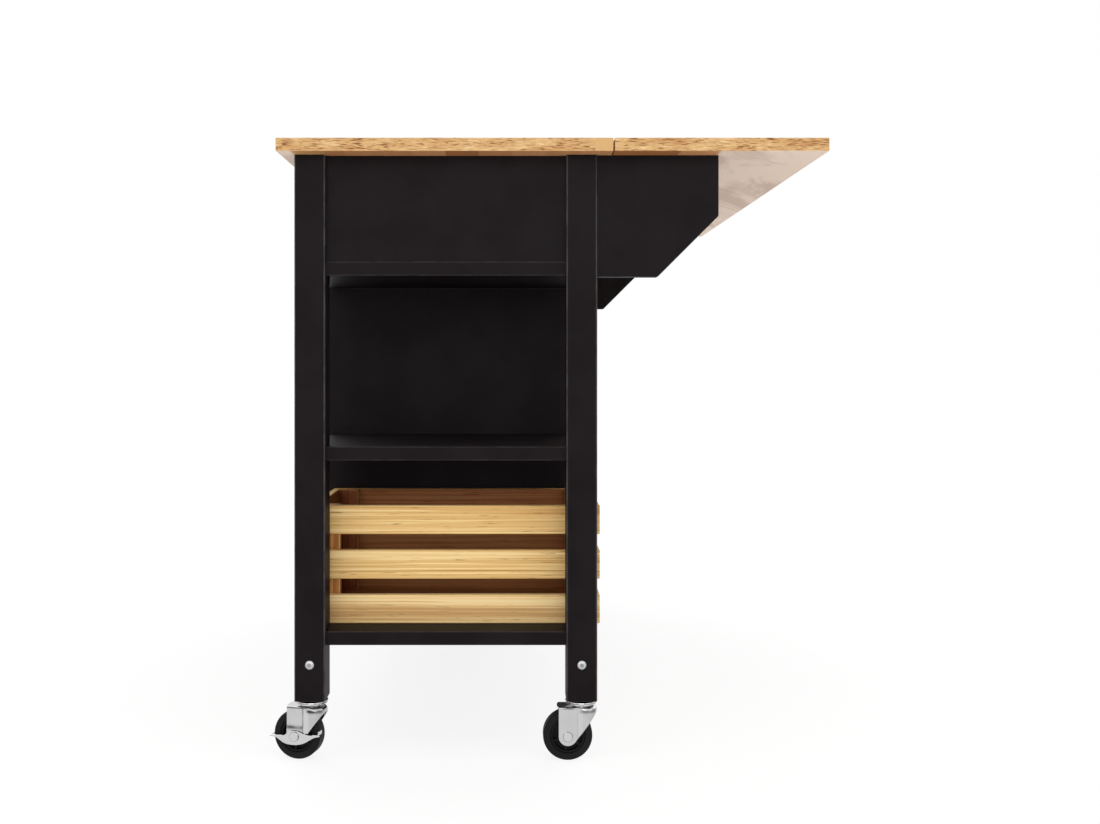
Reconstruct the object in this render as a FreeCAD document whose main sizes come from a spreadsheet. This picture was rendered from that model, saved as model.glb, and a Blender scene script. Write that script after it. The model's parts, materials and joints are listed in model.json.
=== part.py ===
import FreeCAD, Part

import math
import os
import re

import Sketcher
from FreeCAD import Placement, Rotation, Vector

# A drop leaf kitchen island on casters, built as its separate pieces.
# Frame: millimetres, +Z up. +X points to the drop leaf and -X to the doors and drawers. +Y runs
# along the worktop, away from the open end bay. The origin is on the floor, under the middle of
# the outline that the rolling island covers.

# ---------------------------------------------------------------- driving dimensions

SIZES = {
    # worktop and leaf
    "worktop_length": 1100,
    "worktop_depth": 460,
    "top_thickness": 18,
    "leaf_reach": 292,
    "seam_gap": 2,
    "side_overhang": 20,
    "end_overhang": 27.5,
    "board_arris": 0.8,
    # legs and boards
    "leg_width": 43,
    "leg_height": 758,
    "leg_edge_radius": 2.5,
    "leg_arris": 0.6,
    "board_thickness": 19,
    "board_recess": 7.5,
    "drawer_zone": 148,
    "foot_height": 76.6,
    "panel_thickness": 16,
    "panel_recess": 10,
    "back_thickness": 9,
    "fit_gap": 0.3,
    "cut_margin": 1,
    # leg bolts and their blocks
    "bolt_drop": 25.6,
    "bolt_shank": 6,
    "bolt_head": 12.5,
    "bolt_head_depth": 2.5,
    "bolt_socket": 5,
    "socket_floor": 0.5,
    "block_width": 22,
    "block_depth": 30,
    "block_height": 36,
    "bolt_grip": 22,
    # hinges: one pattern of butt hinge for the leaf, the supports and the doors
    "hinge_length": 50,
    "hinge_width": 18,
    "plate_thickness": 1.2,
    "barrel_radius": 2,
    "pin_radius": 1,
    "pin_clearance": 0.05,
    "knuckle_gap": 0.3,
    "barrel_clear": 2.5,
    "door_pin_gap": 0.2,
    "door_hinge_inset": 90,
    "leaf_hinge_spacing": 260,
    "support_hinge_low": 44,
    "support_hinge_high": 132,
    # leaf supports
    "support_reach": 169,
    "support_height": 169,
    "support_cut": 85,
    "support_thickness": 15,
    "support_recess": 5.7,
    "support_edge_gap": 0.5,
    "support_corner": 4,
    # crate
    "crate_inset": 11,
    "crate_proud": 7.5,
    "crate_setback": 57,
    "crate_width": 229,
    "crate_clearance": 6,
    "slat_height": 41,
    "slat_thickness": 11,
    "slat_gap": 23,
    "post_width": 31.5,
    "post_depth": 15,
    "crate_floor": 8,
    # doors and drawers
    "front_thickness": 18,
    "front_gap": 2,
    "box_end_gap": 18.5,
    "box_height": 110,
    "box_side": 12,
    "box_bottom": 6,
    "box_lift": 14,
    "runner_gap": 12.5,
    "channel_height": 36,
    "channel_depth": 9,
    "channel_wall": 1.5,
    "bar_height": 30,
    "bar_thickness": 10,
    "bar_end_gap": 3,
    "batten_margin": 20,
    "knob_radius": 14,
    "knob_reach": 25,
    "knob_stem": 6,
    "knob_neck": 11.2,
    "knob_rim_low": 16.2,
    "knob_rim_high": 21.2,
    "knob_face": 8.4,
    "knob_rim_round": 1.5,
    "knob_face_round": 2,
    "knob_from_top": 70,
    "knob_from_edge": 35,
    # casters
    "caster_height": 85,
    "swivel_height": 10,
    "caster_trail": 19,
    "wheel_clearance": 4,
    "tyre_depth": 10.5,
    "tyre_width": 22,
    "tyre_corner": 4,
    "hub_width": 18,
    "hub_boss": 9,
    "boss_proud": 1,
    "boss_clearance": 1,
    "rim_wall": 3,
    "rib_thickness": 2,
    "rib_recess": 1.5,
    "rib_overlap": 0.5,
    "web_thickness": 5,
    "axle_radius": 4,
    "axle_clearance": 0.05,
    "axle_head": 7,
    "axle_head_depth": 2,
    "axle_end_play": 0.05,
    "fork_wall": 2,
    "nose_lead": 5,
    "nose_bulge": 2,
    "nose_slope": 4,
    "fork_boss": 12.7,
    "shoulder_drop": 1.7,
    "fork_crown_radius": 1.5,
    "race_radius": 12,
    "race_height": 3.5,
    "stem_radius": 6,
    "stem_length": 35,
    "stem_clearance": 0.05,
    "cap_radius": 22.5,
    "cap_gap": 0.3,
    "cap_edge": 1.5,
    "neck_radius": 14,
    "neck_height": 2,
    "rivet_radius": 9,
    "rivet_depth": 2,
    "lever_clearance": 1.1,
    "lever_height": 20,
    "lever_tip": 4,
    "lever_thickness": 1.5,
    "lever_tab": 1.6,
    "tab_overlap": 0.5,
    "lever_tab_width": 11,
    "lever_tab_height": 9,
    "front_yaw": -14,
    "far_front_yaw": 20,
    "far_rear_yaw": -30,
    "near_rear_yaw": 0,
}

# Levels and lines worked out from the sizes above. Each is an expression in the same words.
LINES = {
    "frame_depth": "worktop_depth - 2 * side_overhang",
    "frame_length": "worktop_length - 2 * end_overhang",
    # caster
    "fork_top": "caster_height - swivel_height",
    "cap_under": "fork_top + race_height + cap_gap",
    "cap_top": "caster_height - neck_height",
    "fork_shoulder": "fork_top - shoulder_drop",
    "wheel_radius": "(fork_top - fork_wall - wheel_clearance) / 2",
    "hub_radius": "wheel_radius - tyre_depth",
    "boss_end": "tyre_width / 2 + boss_proud",
    "fork_inside": "2 * (boss_end + boss_clearance)",
    "fork_front_radius": "fork_inside / 2 + fork_wall + nose_bulge",
    "fork_side_front": "nose_lead + fork_front_radius + nose_slope",
    "lever_reach": "wheel_radius + lever_clearance",
    "lever_side": "fork_front_radius + fit_gap + lever_thickness",
    "caster_overreach": "(caster_trail + lever_reach + lever_tab) * cos(front_yaw)"
                        " - lever_side * sin(front_yaw) - leg_width / 2 - side_overhang",
    # worktop, frame and boards
    "worktop_middle": "(caster_overreach - leaf_reach - seam_gap) / 2",
    "front_x": "worktop_middle - frame_depth / 2",
    "rear_x": "worktop_middle + frame_depth / 2",
    "near_y": "0 - frame_length / 2",
    "far_y": "frame_length / 2",
    "front_leg_x": "front_x + leg_width / 2",
    "rear_leg_x": "rear_x - leg_width / 2",
    "near_leg_y": "near_y + leg_width / 2",
    "far_leg_y": "far_y - leg_width / 2",
    "seam_x": "rear_x + side_overhang + seam_gap / 2",
    "top_under": "caster_height + leg_height",
    "bay_clear": "(leg_height - drawer_zone - foot_height - 3 * board_thickness) / 2",
    "bay_depth": "crate_setback + crate_width + crate_clearance",
    "deck_top": "top_under - drawer_zone",
    "deck_under": "deck_top - board_thickness",
    "shelf_top": "deck_under - bay_clear",
    "shelf_under": "shelf_top - board_thickness",
    "bottom_top": "shelf_under - bay_clear",
    "bottom_under": "bottom_top - board_thickness",
    "partition_y": "near_y + bay_depth",
    "cabinet_y": "partition_y + panel_thickness",
    "face_x": "front_x + board_recess",
    "panel_end_x": "rear_x - panel_recess",
    "bolt_z": "bottom_under - bolt_drop",
    # hinge pins
    "leaf_pin_z": "top_under - barrel_radius",
    "support_pin_x": "rear_x + barrel_radius",
    "near_support_pin_y": "near_y + support_recess + support_thickness + barrel_radius",
    "far_support_pin_y": "far_y - support_recess - support_thickness - barrel_radius",
    "support_z": "top_under - fit_gap - support_height",
    "door_pin_x": "face_x - barrel_radius - door_pin_gap",
    "near_door_pin_y": "cabinet_y + barrel_radius",
    "far_door_pin_y": "far_y - leg_width - barrel_radius",
    # crate
    "crate_x": "front_x + crate_inset",
    "crate_length": "frame_depth - crate_inset + crate_proud",
    "crate_y": "near_y + crate_setback",
    "crate_z": "bottom_top + fit_gap",
    "crate_height": "3 * slat_height + 2 * slat_gap",
    # doors and drawers
    "opening_length": "far_y - leg_width - cabinet_y",
    "door_length": "opening_length / 2 - 2 * barrel_radius - front_gap / 2",
    "door_height": "deck_under - bottom_top - 2 * front_gap",
    "drawer_opening": "(frame_length - 2 * leg_width - panel_thickness) / 2",
    "drawer_front_length": "drawer_opening - 2 * front_gap",
    "drawer_front_height": "drawer_zone - 2 * front_gap",
    "box_width": "drawer_opening - 2 * runner_gap",
    "box_x": "face_x + front_thickness",
    "box_length": "panel_end_x - panel_thickness - box_end_gap - box_x",
    "box_z": "deck_top + box_lift",
    "runner_z": "box_z + box_height / 2",
    "channel_length": "frame_depth - leg_width - panel_recess - panel_thickness - front_thickness",
    "bar_length": "channel_length - bar_end_gap",
}

SAME = 0.01  # lengths closer than this count as the same

doc = FreeCAD.newDocument("drop_leaf_kitchen_island")
sheet = doc.addObject("Spreadsheet::Sheet", "Sizes")
pieces = []


def fill_sheet():
    """One row of the sheet for each driving dimension: its name and its plain number."""
    for row, (alias, number) in enumerate(SIZES.items(), start=1):
        sheet.set(f"A{row}", alias)
        sheet.set(f"B{row}", str(number))
        sheet.setAlias(f"B{row}", alias)
    doc.recompute()


def bound(words):
    """The expression with each line written out, and each size as the sheet's cell."""

    def cell(match):
        word = match.group(0)
        if word in LINES:
            return f"({bound(LINES[word])})"
        if word in SIZES:
            return f"Sizes.{word}"
        return word

    return re.sub(r"[a-z_]+", cell, str(words))


def value(words):
    """The number that an expression in sizes and lines comes to."""
    return float(sheet.evalExpression(bound(words)))


# ---------------------------------------------------------------- building blocks


def set_place(piece, x="0", y="0", z="0", rotation=Rotation()):
    piece.Placement = Placement(Vector(value(x), value(y), value(z)), rotation)
    for axis, words in zip("xyz", (x, y, z)):
        piece.setExpression(f"Placement.Base.{axis}", bound(words))


def turn_z(degrees):
    return Rotation(Vector(0, 0, 1), degrees)


def new_body(label, x="0", y="0", z="0", rotation=Rotation()):
    """An empty body that stands for one node. It may hold several separate solids."""
    body = doc.addObject("PartDesign::Body", label)
    body.Label = label
    body.AllowCompound = True
    set_place(body, x, y, z, rotation)
    pieces.append(body)
    return body


def new_sketch(body, plane, lift="0"):
    """A sketch on one of the body's origin planes, lifted along that plane's normal."""
    sketch = body.newObject("Sketcher::SketchObject", f"{body.Name}_sketch")
    support = [part for part in body.Origin.OriginFeatures if part.Role == plane][0]
    sketch.AttachmentSupport = [(support, "")]
    sketch.MapMode = "FlatFace"
    sketch.setExpression("AttachmentOffset.Base.z", bound(lift))
    return sketch


def hold_point(sketch, geometry, point, x, y):
    """Bind a point of the sketch to the sheet, as distances from the sketch's origin."""
    for kind, words in (("DistanceX", x), ("DistanceY", y)):
        rule = Sketcher.Constraint(kind, -1, 1, geometry, point, value(words))
        index = sketch.addConstraint(rule)
        sketch.setExpression(f"Constraints[{index}]", bound(words))


def hold_radius(sketch, geometry, words):
    index = sketch.addConstraint(Sketcher.Constraint("Radius", geometry, value(words)))
    sketch.setExpression(f"Constraints[{index}]", bound(words))


def draw_circle(sketch, x, y, radius):
    circle = Part.Circle(Vector(value(x), value(y), 0), Vector(0, 0, 1), value(radius))
    geometry = sketch.addGeometry(circle, False)
    hold_point(sketch, geometry, 3, x, y)
    hold_radius(sketch, geometry, radius)


def corner_arc(before, corner, after, radius):
    """The arc that rounds a corner: its two tangent points, its centre and its own geometry."""
    to_before = (before - corner).normalize()
    to_after = (after - corner).normalize()
    half = to_before.getAngle(to_after) / 2
    start = corner + to_before * (radius / math.tan(half))
    end = corner + to_after * (radius / math.tan(half))
    middle = corner + (to_before + to_after).normalize() * (radius / math.sin(half))
    first = math.atan2(start.y - middle.y, start.x - middle.x)
    last = math.atan2(end.y - middle.y, end.x - middle.x)
    left_turn = (corner - before).cross(after - corner).z > 0
    angles = (first, last) if left_turn else (last, first)
    arc = Part.ArcOfCircle(Part.Circle(middle, Vector(0, 0, 1), radius), *angles)
    return start, end, arc, (1, 2) if left_turn else (2, 1)


def draw_outline(sketch, corners):
    """A closed outline. Each corner is (x, y), or (x, y, radius) where it is rounded."""
    points = [Vector(value(corner[0]), value(corner[1]), 0) for corner in corners]
    count = len(corners)
    rounds = {}
    for index, corner in enumerate(corners):
        if len(corner) == 3:
            neighbours = points[index - 1], points[index], points[(index + 1) % count]
            rounds[index] = corner_arc(*neighbours, value(corner[2]))
    lines = []
    for index in range(count):
        ahead = (index + 1) % count
        start = rounds[index][1] if index in rounds else points[index]
        end = rounds[ahead][0] if ahead in rounds else points[ahead]
        lines.append(sketch.addGeometry(Part.LineSegment(start, end), False))
    for index, corner in enumerate(corners):
        behind, ahead = lines[index - 1], lines[index]
        if index not in rounds:
            sketch.addConstraint(Sketcher.Constraint("Coincident", behind, 2, ahead, 1))
            hold_point(sketch, ahead, 1, corner[0], corner[1])
            continue
        arc = sketch.addGeometry(rounds[index][2], False)
        arc_start, arc_end = rounds[index][3]
        sharp = sketch.addGeometry(Part.Point(points[index]), True)
        sketch.addConstraint(Sketcher.Constraint("Tangent", behind, 2, arc, arc_start))
        sketch.addConstraint(Sketcher.Constraint("Tangent", arc, arc_end, ahead, 1))
        sketch.addConstraint(Sketcher.Constraint("PointOnObject", sharp, 1, behind))
        sketch.addConstraint(Sketcher.Constraint("PointOnObject", sharp, 1, ahead))
        hold_point(sketch, sharp, 1, corner[0], corner[1])
        hold_radius(sketch, arc, corner[2])


def draw_box(sketch, x_low, x_high, y_low, y_high, radius=None):
    corners = [(x_low, y_low), (x_high, y_low), (x_high, y_high), (x_low, y_high)]
    if radius:
        corners = [(x, y, radius) for x, y in corners]
    draw_outline(sketch, corners)


def set_extent(feature, length, reverse, both):
    if both:
        feature.SideType = "Symmetric"
    feature.Reversed = reverse
    feature.setExpression("Length", bound(length))


def pad(body, sketch, length, reverse=False, both=False):
    """Grow the sketch into a solid along its normal, or both ways from its plane."""
    feature = body.newObject("PartDesign::Pad", f"{body.Name}_pad")
    feature.Profile = sketch
    set_extent(feature, length, reverse, both)
    doc.recompute()
    return feature


def cut(body, sketch, length, reverse=False, both=False):
    """Cut the sketch's shape away, and make sure that something was cut."""
    volume = body.Shape.Volume
    feature = body.newObject("PartDesign::Pocket", f"{body.Name}_pocket")
    feature.Profile = sketch
    set_extent(feature, length, reverse, both)
    doc.recompute()
    if body.Shape.Volume > volume - 0.1:
        raise RuntimeError(f"{body.Label}: a pocket cuts nothing")
    return feature


def revolve(body, sketch, axis="V_Axis"):
    feature = body.newObject("PartDesign::Revolution", f"{body.Name}_turned")
    feature.Profile = sketch
    feature.ReferenceAxis = (sketch, [axis])
    feature.Angle = 360
    doc.recompute()
    return feature


def break_edges(body, size="board_arris"):
    """A small flat on every edge, as a sanded board has."""
    base = body.Tip
    feature = body.newObject("PartDesign::Chamfer", f"{body.Name}_arris")
    feature.Base = (base, [""])
    feature.UseAllEdges = True
    feature.setExpression("Size", bound(size))
    doc.recompute()
    return feature


def round_chosen(body, radius, chosen):
    """Round the edges for which chosen(edge) is true."""
    base = body.Tip
    names = [f"Edge{number}" for number, edge in enumerate(base.Shape.Edges, start=1)
             if chosen(edge)]
    feature = body.newObject("PartDesign::Fillet", f"{body.Name}_round")
    feature.Base = (base, names)
    feature.setExpression("Radius", bound(radius))
    doc.recompute()
    return feature


def slab(label, x_low, x_high, y_low, y_high, z_low, thickness):
    """A flat board that lies level, given by its outline and its underside."""
    body = new_body(label)
    sketch = new_sketch(body, "XY_Plane", z_low)
    draw_box(sketch, x_low, x_high, y_low, y_high)
    pad(body, sketch, thickness)
    break_edges(body)


def upright_x(label, x_low, x_high, y_low, thickness, z_low, z_high):
    """A flat panel that stands across the island: its faces look along Y."""
    body = new_body(label)
    sketch = new_sketch(body, "XZ_Plane", f"0 - ({y_low})")
    draw_box(sketch, x_low, x_high, z_low, z_high)
    pad(body, sketch, thickness, reverse=True)
    break_edges(body)


def upright_y(label, y_low, y_high, x_low, thickness, z_low, z_high):
    """A flat panel that stands along the island: its faces look along X."""
    body = new_body(label)
    sketch = new_sketch(body, "YZ_Plane", x_low)
    draw_box(sketch, y_low, y_high, z_low, z_high)
    pad(body, sketch, thickness)
    break_edges(body)


# ---------------------------------------------------------------- worktop, legs and boards


def make_worktop():
    slab("worktop", "worktop_middle - worktop_depth / 2", "worktop_middle + worktop_depth / 2",
         "0 - worktop_length / 2", "worktop_length / 2", "top_under", "top_thickness")


def make_leg(label, x, y):
    """A square leg with rounded long edges, a bore for the caster and one for its bolt."""
    body = new_body(label, x, y, "caster_height")
    half = "leg_width / 2"
    sketch = new_sketch(body, "XY_Plane")
    draw_box(sketch, f"0 - {half}", half, f"0 - {half}", half, "leg_edge_radius")
    pad(body, sketch, "leg_height")
    bore = new_sketch(body, "XY_Plane")
    draw_circle(bore, "0", "0", "stem_radius")
    cut(body, bore, "stem_length", reverse=True)
    bolt_hole = new_sketch(body, "XZ_Plane")
    draw_circle(bolt_hole, "0", "bolt_z - caster_height", "bolt_shank / 2")
    cut(body, bolt_hole, "leg_width + 2 * cut_margin", both=True)


def make_legs():
    make_leg("leg_near_front", "front_leg_x", "near_leg_y")
    make_leg("leg_near_rear", "rear_leg_x", "near_leg_y")
    make_leg("leg_far_front", "front_leg_x", "far_leg_y")
    make_leg("leg_far_rear", "rear_leg_x", "far_leg_y")


def make_notched_board(label, z_low, y_high=None):
    """A level board cut out round the legs. It ends at y_high, or runs round the far legs too."""
    x_low, x_high = "face_x", "rear_x - board_recess"
    x_in_low, x_in_high = "front_x + leg_width", "rear_x - leg_width"
    y_low, y_in_low = "near_y + board_recess", "near_y + leg_width"
    corners = [(x_in_low, y_in_low), (x_in_low, y_low), (x_in_high, y_low), (x_in_high, y_in_low),
               (x_high, y_in_low)]
    if y_high:
        corners += [(x_high, y_high), (x_low, y_high)]
    else:
        y_in_high, y_end = "far_y - leg_width", "far_y - board_recess"
        corners += [(x_high, y_in_high), (x_in_high, y_in_high), (x_in_high, y_end),
                    (x_in_low, y_end), (x_in_low, y_in_high), (x_low, y_in_high)]
    corners += [(x_low, y_in_low)]
    body = new_body(label)
    sketch = new_sketch(body, "XY_Plane", z_low)
    draw_outline(sketch, corners)
    pad(body, sketch, "board_thickness")
    break_edges(body)


def make_boards():
    make_notched_board("drawer_deck", "deck_under")
    make_notched_board("bay_shelf", "shelf_under", "partition_y")
    make_notched_board("bottom_shelf", "bottom_under")
    slab("cabinet_shelf", "front_x + leg_width + front_gap", "panel_end_x - back_thickness",
         "cabinet_y", "far_y - leg_width", "shelf_under", "board_thickness")


def make_panels():
    between = ("front_x + leg_width", "rear_x - leg_width")
    upright_x("near_end_apron", *between, "near_y + panel_recess", "panel_thickness",
              "deck_top", "top_under")
    far_panel_y = "far_y - panel_recess - panel_thickness"
    upright_x("far_end_apron", *between, far_panel_y, "panel_thickness", "deck_top", "top_under")
    upright_x("far_side_panel", *between, far_panel_y, "panel_thickness",
              "bottom_top", "deck_under")
    upright_x("bay_partition", "face_x", "panel_end_x", "partition_y", "panel_thickness",
              "bottom_top", "deck_under")
    upright_y("rear_apron", "near_y + leg_width", "far_y - leg_width",
              "panel_end_x - panel_thickness", "panel_thickness", "deck_top", "top_under")
    upright_y("cabinet_back", "cabinet_y", "far_y - leg_width", "panel_end_x - back_thickness",
              "back_thickness", "bottom_top", "deck_under")
    upright_x("drawer_divider", "face_x", "panel_end_x - panel_thickness",
              "0 - panel_thickness / 2", "panel_thickness", "deck_top", "top_under")


# ---------------------------------------------------------------- bolts and corner blocks


def leg_centres():
    """The four places (x, y, side) of the legs. side is 1 at the near end, else -1."""
    return [("front_leg_x", "near_leg_y", 1), ("rear_leg_x", "near_leg_y", 1),
            ("front_leg_x", "far_leg_y", -1), ("rear_leg_x", "far_leg_y", -1)]


def make_corner_blocks():
    """Blocks under the bottom shelf, each behind a leg, that the leg bolts screw into."""
    body = new_body("corner_blocks")
    sketch = new_sketch(body, "XY_Plane", "bottom_under")
    for x, y, side in leg_centres():
        face = f"({y}) + {side} * leg_width / 2"
        back = f"({face}) + {side} * block_depth"
        low, high = (face, back) if side > 0 else (back, face)
        draw_box(sketch, f"{x} - block_width / 2", f"{x} + block_width / 2", low, high)
    pad(body, sketch, "block_height", reverse=True)
    holes = new_sketch(body, "XZ_Plane")
    for x in ("front_leg_x", "rear_leg_x"):
        draw_circle(holes, x, "bolt_z", "bolt_shank / 2")
    cut(body, holes, "frame_length - 2 * leg_width", both=True)
    break_edges(body, "leg_arris")


def make_leg_bolts():
    """Button-head bolts through the legs' end faces, with a hexagon socket in each head."""
    body = new_body("leg_bolts")
    for side in (1, -1):
        face = f"0 - {side} * near_y"
        heads = new_sketch(body, "XZ_Plane", face)
        for x in ("front_leg_x", "rear_leg_x"):
            draw_circle(heads, x, "bolt_z", "bolt_head / 2")
        pad(body, heads, "bolt_head_depth", reverse=side < 0)
        shanks = new_sketch(body, "XZ_Plane", face)
        for x in ("front_leg_x", "rear_leg_x"):
            draw_circle(shanks, x, "bolt_z", "bolt_shank / 2")
        pad(body, shanks, "leg_width + bolt_grip", reverse=side > 0)
        outer = f"{face} + {side} * bolt_head_depth"
        sockets = new_sketch(body, "XZ_Plane", outer)
        for x in ("front_leg_x", "rear_leg_x"):
            draw_hexagon(sockets, x, "bolt_z", "bolt_socket")
        cut(body, sockets, "bolt_head_depth - socket_floor", reverse=side < 0)
    rim = value("bolt_head") / 2
    top = value("far_y") + value("bolt_head_depth")
    round_chosen(body, "bolt_head_depth / 2",
                 lambda edge: is_circle(edge, rim) and abs(abs(edge.Curve.Center.y) - top) < SAME)


def is_circle(edge, radius):
    round_edge = isinstance(edge.Curve, Part.Circle)
    return round_edge and abs(edge.Curve.Radius - radius) < SAME


def draw_hexagon(sketch, x, y, across):
    """A regular hexagon, given by the distance across its flats."""
    corners = []
    for step in range(6):
        angle = 60 * step
        reach = f"({across}) / sqrt(3)"
        corners.append((f"{x} + {reach} * cos({angle})", f"{y} + {reach} * sin({angle})"))
    draw_outline(sketch, corners)


# ---------------------------------------------------------------- butt hinges

# A hinge plate in its own frame: the pin lies along Z through the origin, the plate reaches
# along +X and lies on the -Y side, tangent to the barrel.


def new_solid(kind, name, **lengths):
    """A box or a cylinder whose lengths are bound to the sheet."""
    solid = doc.addObject(kind, name)
    for length, words in lengths.items():
        solid.setExpression(length, bound(words))
    return solid


def new_barrel(name, low, height, radius):
    barrel = new_solid("Part::Cylinder", name, Radius=radius, Height=height)
    set_place(barrel, z=low)
    return barrel


def join(name, solids):
    joined = doc.addObject("Part::MultiFuse", name)
    joined.Shapes = solids
    joined.Refine = True
    return joined


def make_plate(name, knuckles):
    """The plate and a tongue from it to each of its knuckles, given as (low end, length)."""
    reach = "hinge_width - barrel_clear"
    plate = new_solid("Part::Box", f"{name}_plate", Length=reach, Width="plate_thickness",
                      Height="hinge_length")
    set_place(plate, "barrel_clear", "0 - barrel_radius", "0 - hinge_length / 2")
    solids = [plate]
    for low, length in knuckles:
        tongue = new_solid("Part::Box", f"{name}_tongue", Length="barrel_clear",
                           Width="plate_thickness", Height=length)
        set_place(tongue, "0", "0 - barrel_radius", low)
        solids += [tongue, new_barrel(f"{name}_knuckle", low, length, "barrel_radius")]
    return solids


def make_fixed_leaf(name):
    """The plate with the two end knuckles and the pin through them."""
    length = "(hinge_length / 3)"
    ends = [("0 - hinge_length / 2", length), (f"hinge_length / 2 - {length}", length)]
    pin = new_barrel(f"{name}_pin", "0 - hinge_length / 2", "hinge_length", "pin_radius")
    return join(name, make_plate(name, ends) + [pin])


def make_moving_leaf(name):
    """The plate with the middle knuckle, bored for the pin."""
    length = "(hinge_length / 3 - 2 * knuckle_gap)"
    solids = make_plate(name, [(f"0 - {length} / 2", length)])
    bored = doc.addObject("Part::Cut", name)
    bored.Base = join(f"{name}_solid", solids)
    bored.Tool = new_barrel(f"{name}_bore", "0 - hinge_length / 2", "hinge_length",
                            "pin_radius + pin_clearance")
    return bored


def axes(x_to, y_to):
    """The rotation that takes +X and +Y of a piece to these directions."""
    x_to, y_to = Vector(*x_to), Vector(*y_to)
    z_to = x_to.cross(y_to)
    return Rotation(x_to, y_to, z_to, "ZXY")


def group(label, leaves):
    """Several separate solids of one kind that share a node."""
    node = doc.addObject("Part::Compound", label)
    node.Label = label
    node.Links = leaves
    pieces.append(node)


RIGHT, LEFT = (1, 0, 0), (-1, 0, 0)
AWAY, BACK = (0, 1, 0), (0, -1, 0)
DOWN = (0, 0, -1)


def door_hinge_levels():
    return ["bottom_top + front_gap + door_hinge_inset",
            "deck_under - front_gap - door_hinge_inset"]


def support_hinge_levels():
    return ["support_z + support_hinge_low", "support_z + support_hinge_high"]


def make_hinges():
    """Fixed plates in one node. Moving plates in a node for each piece that they carry."""
    fixed = []

    def place_pair(name, x, y, z, fixed_axes, moving_axes):
        fixed_leaf = make_fixed_leaf(f"{name}_fixed")
        set_place(fixed_leaf, x, y, z, axes(*fixed_axes))
        fixed.append(fixed_leaf)
        moving_leaf = make_moving_leaf(f"{name}_moving")
        set_place(moving_leaf, x, y, z, axes(*moving_axes))
        return moving_leaf

    leaf_plates = [
        place_pair("leaf_hinge", "seam_x", y, "leaf_pin_z", (LEFT, DOWN), (RIGHT, DOWN))
        for y in ("0 - leaf_hinge_spacing", "0", "leaf_hinge_spacing")]
    near_support = [
        place_pair("near_support_hinge", "support_pin_x", "near_support_pin_y", z,
                   (AWAY, RIGHT), (RIGHT, AWAY)) for z in support_hinge_levels()]
    far_support = [
        place_pair("far_support_hinge", "support_pin_x", "far_support_pin_y", z,
                   (BACK, RIGHT), (RIGHT, BACK)) for z in support_hinge_levels()]
    near_door = [
        place_pair("near_door_hinge", "door_pin_x", "near_door_pin_y", z,
                   (RIGHT, AWAY), (RIGHT, BACK)) for z in door_hinge_levels()]
    far_door = [
        place_pair("far_door_hinge", "door_pin_x", "far_door_pin_y", z,
                   (RIGHT, BACK), (RIGHT, AWAY)) for z in door_hinge_levels()]
    doc.recompute()
    group("hinge_fixed_plates", fixed)
    group("leaf_hinge_plates", leaf_plates)
    group("near_support_hinge_plates", near_support)
    group("far_support_hinge_plates", far_support)
    group("near_door_hinge_plates", near_door)
    group("far_door_hinge_plates", far_door)


# ---------------------------------------------------------------- leaf and its supports


def make_drop_leaf():
    slab("drop_leaf", "seam_x + seam_gap / 2", "seam_x + seam_gap / 2 + leaf_reach",
         "0 - worktop_length / 2", "worktop_length / 2", "top_under", "top_thickness")


def make_support(label, y_low):
    """A board that swings out under the leaf, with its lower outer corner cut at 45 degrees."""
    body = new_body(label, "rear_x", y_low, "support_z")
    sketch = new_sketch(body, "XZ_Plane")
    draw_outline(sketch, [
        ("support_edge_gap", "0"),
        ("support_reach - support_cut", "0", "support_corner"),
        ("support_reach", "support_cut", "support_corner"),
        ("support_reach", "support_height"),
        ("support_edge_gap", "support_height"),
    ])
    pad(body, sketch, "support_thickness", reverse=True)
    break_edges(body)


def make_supports():
    make_support("near_support", "near_y + support_recess")
    make_support("far_support", "far_y - support_recess - support_thickness")


# ---------------------------------------------------------------- crate


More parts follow.
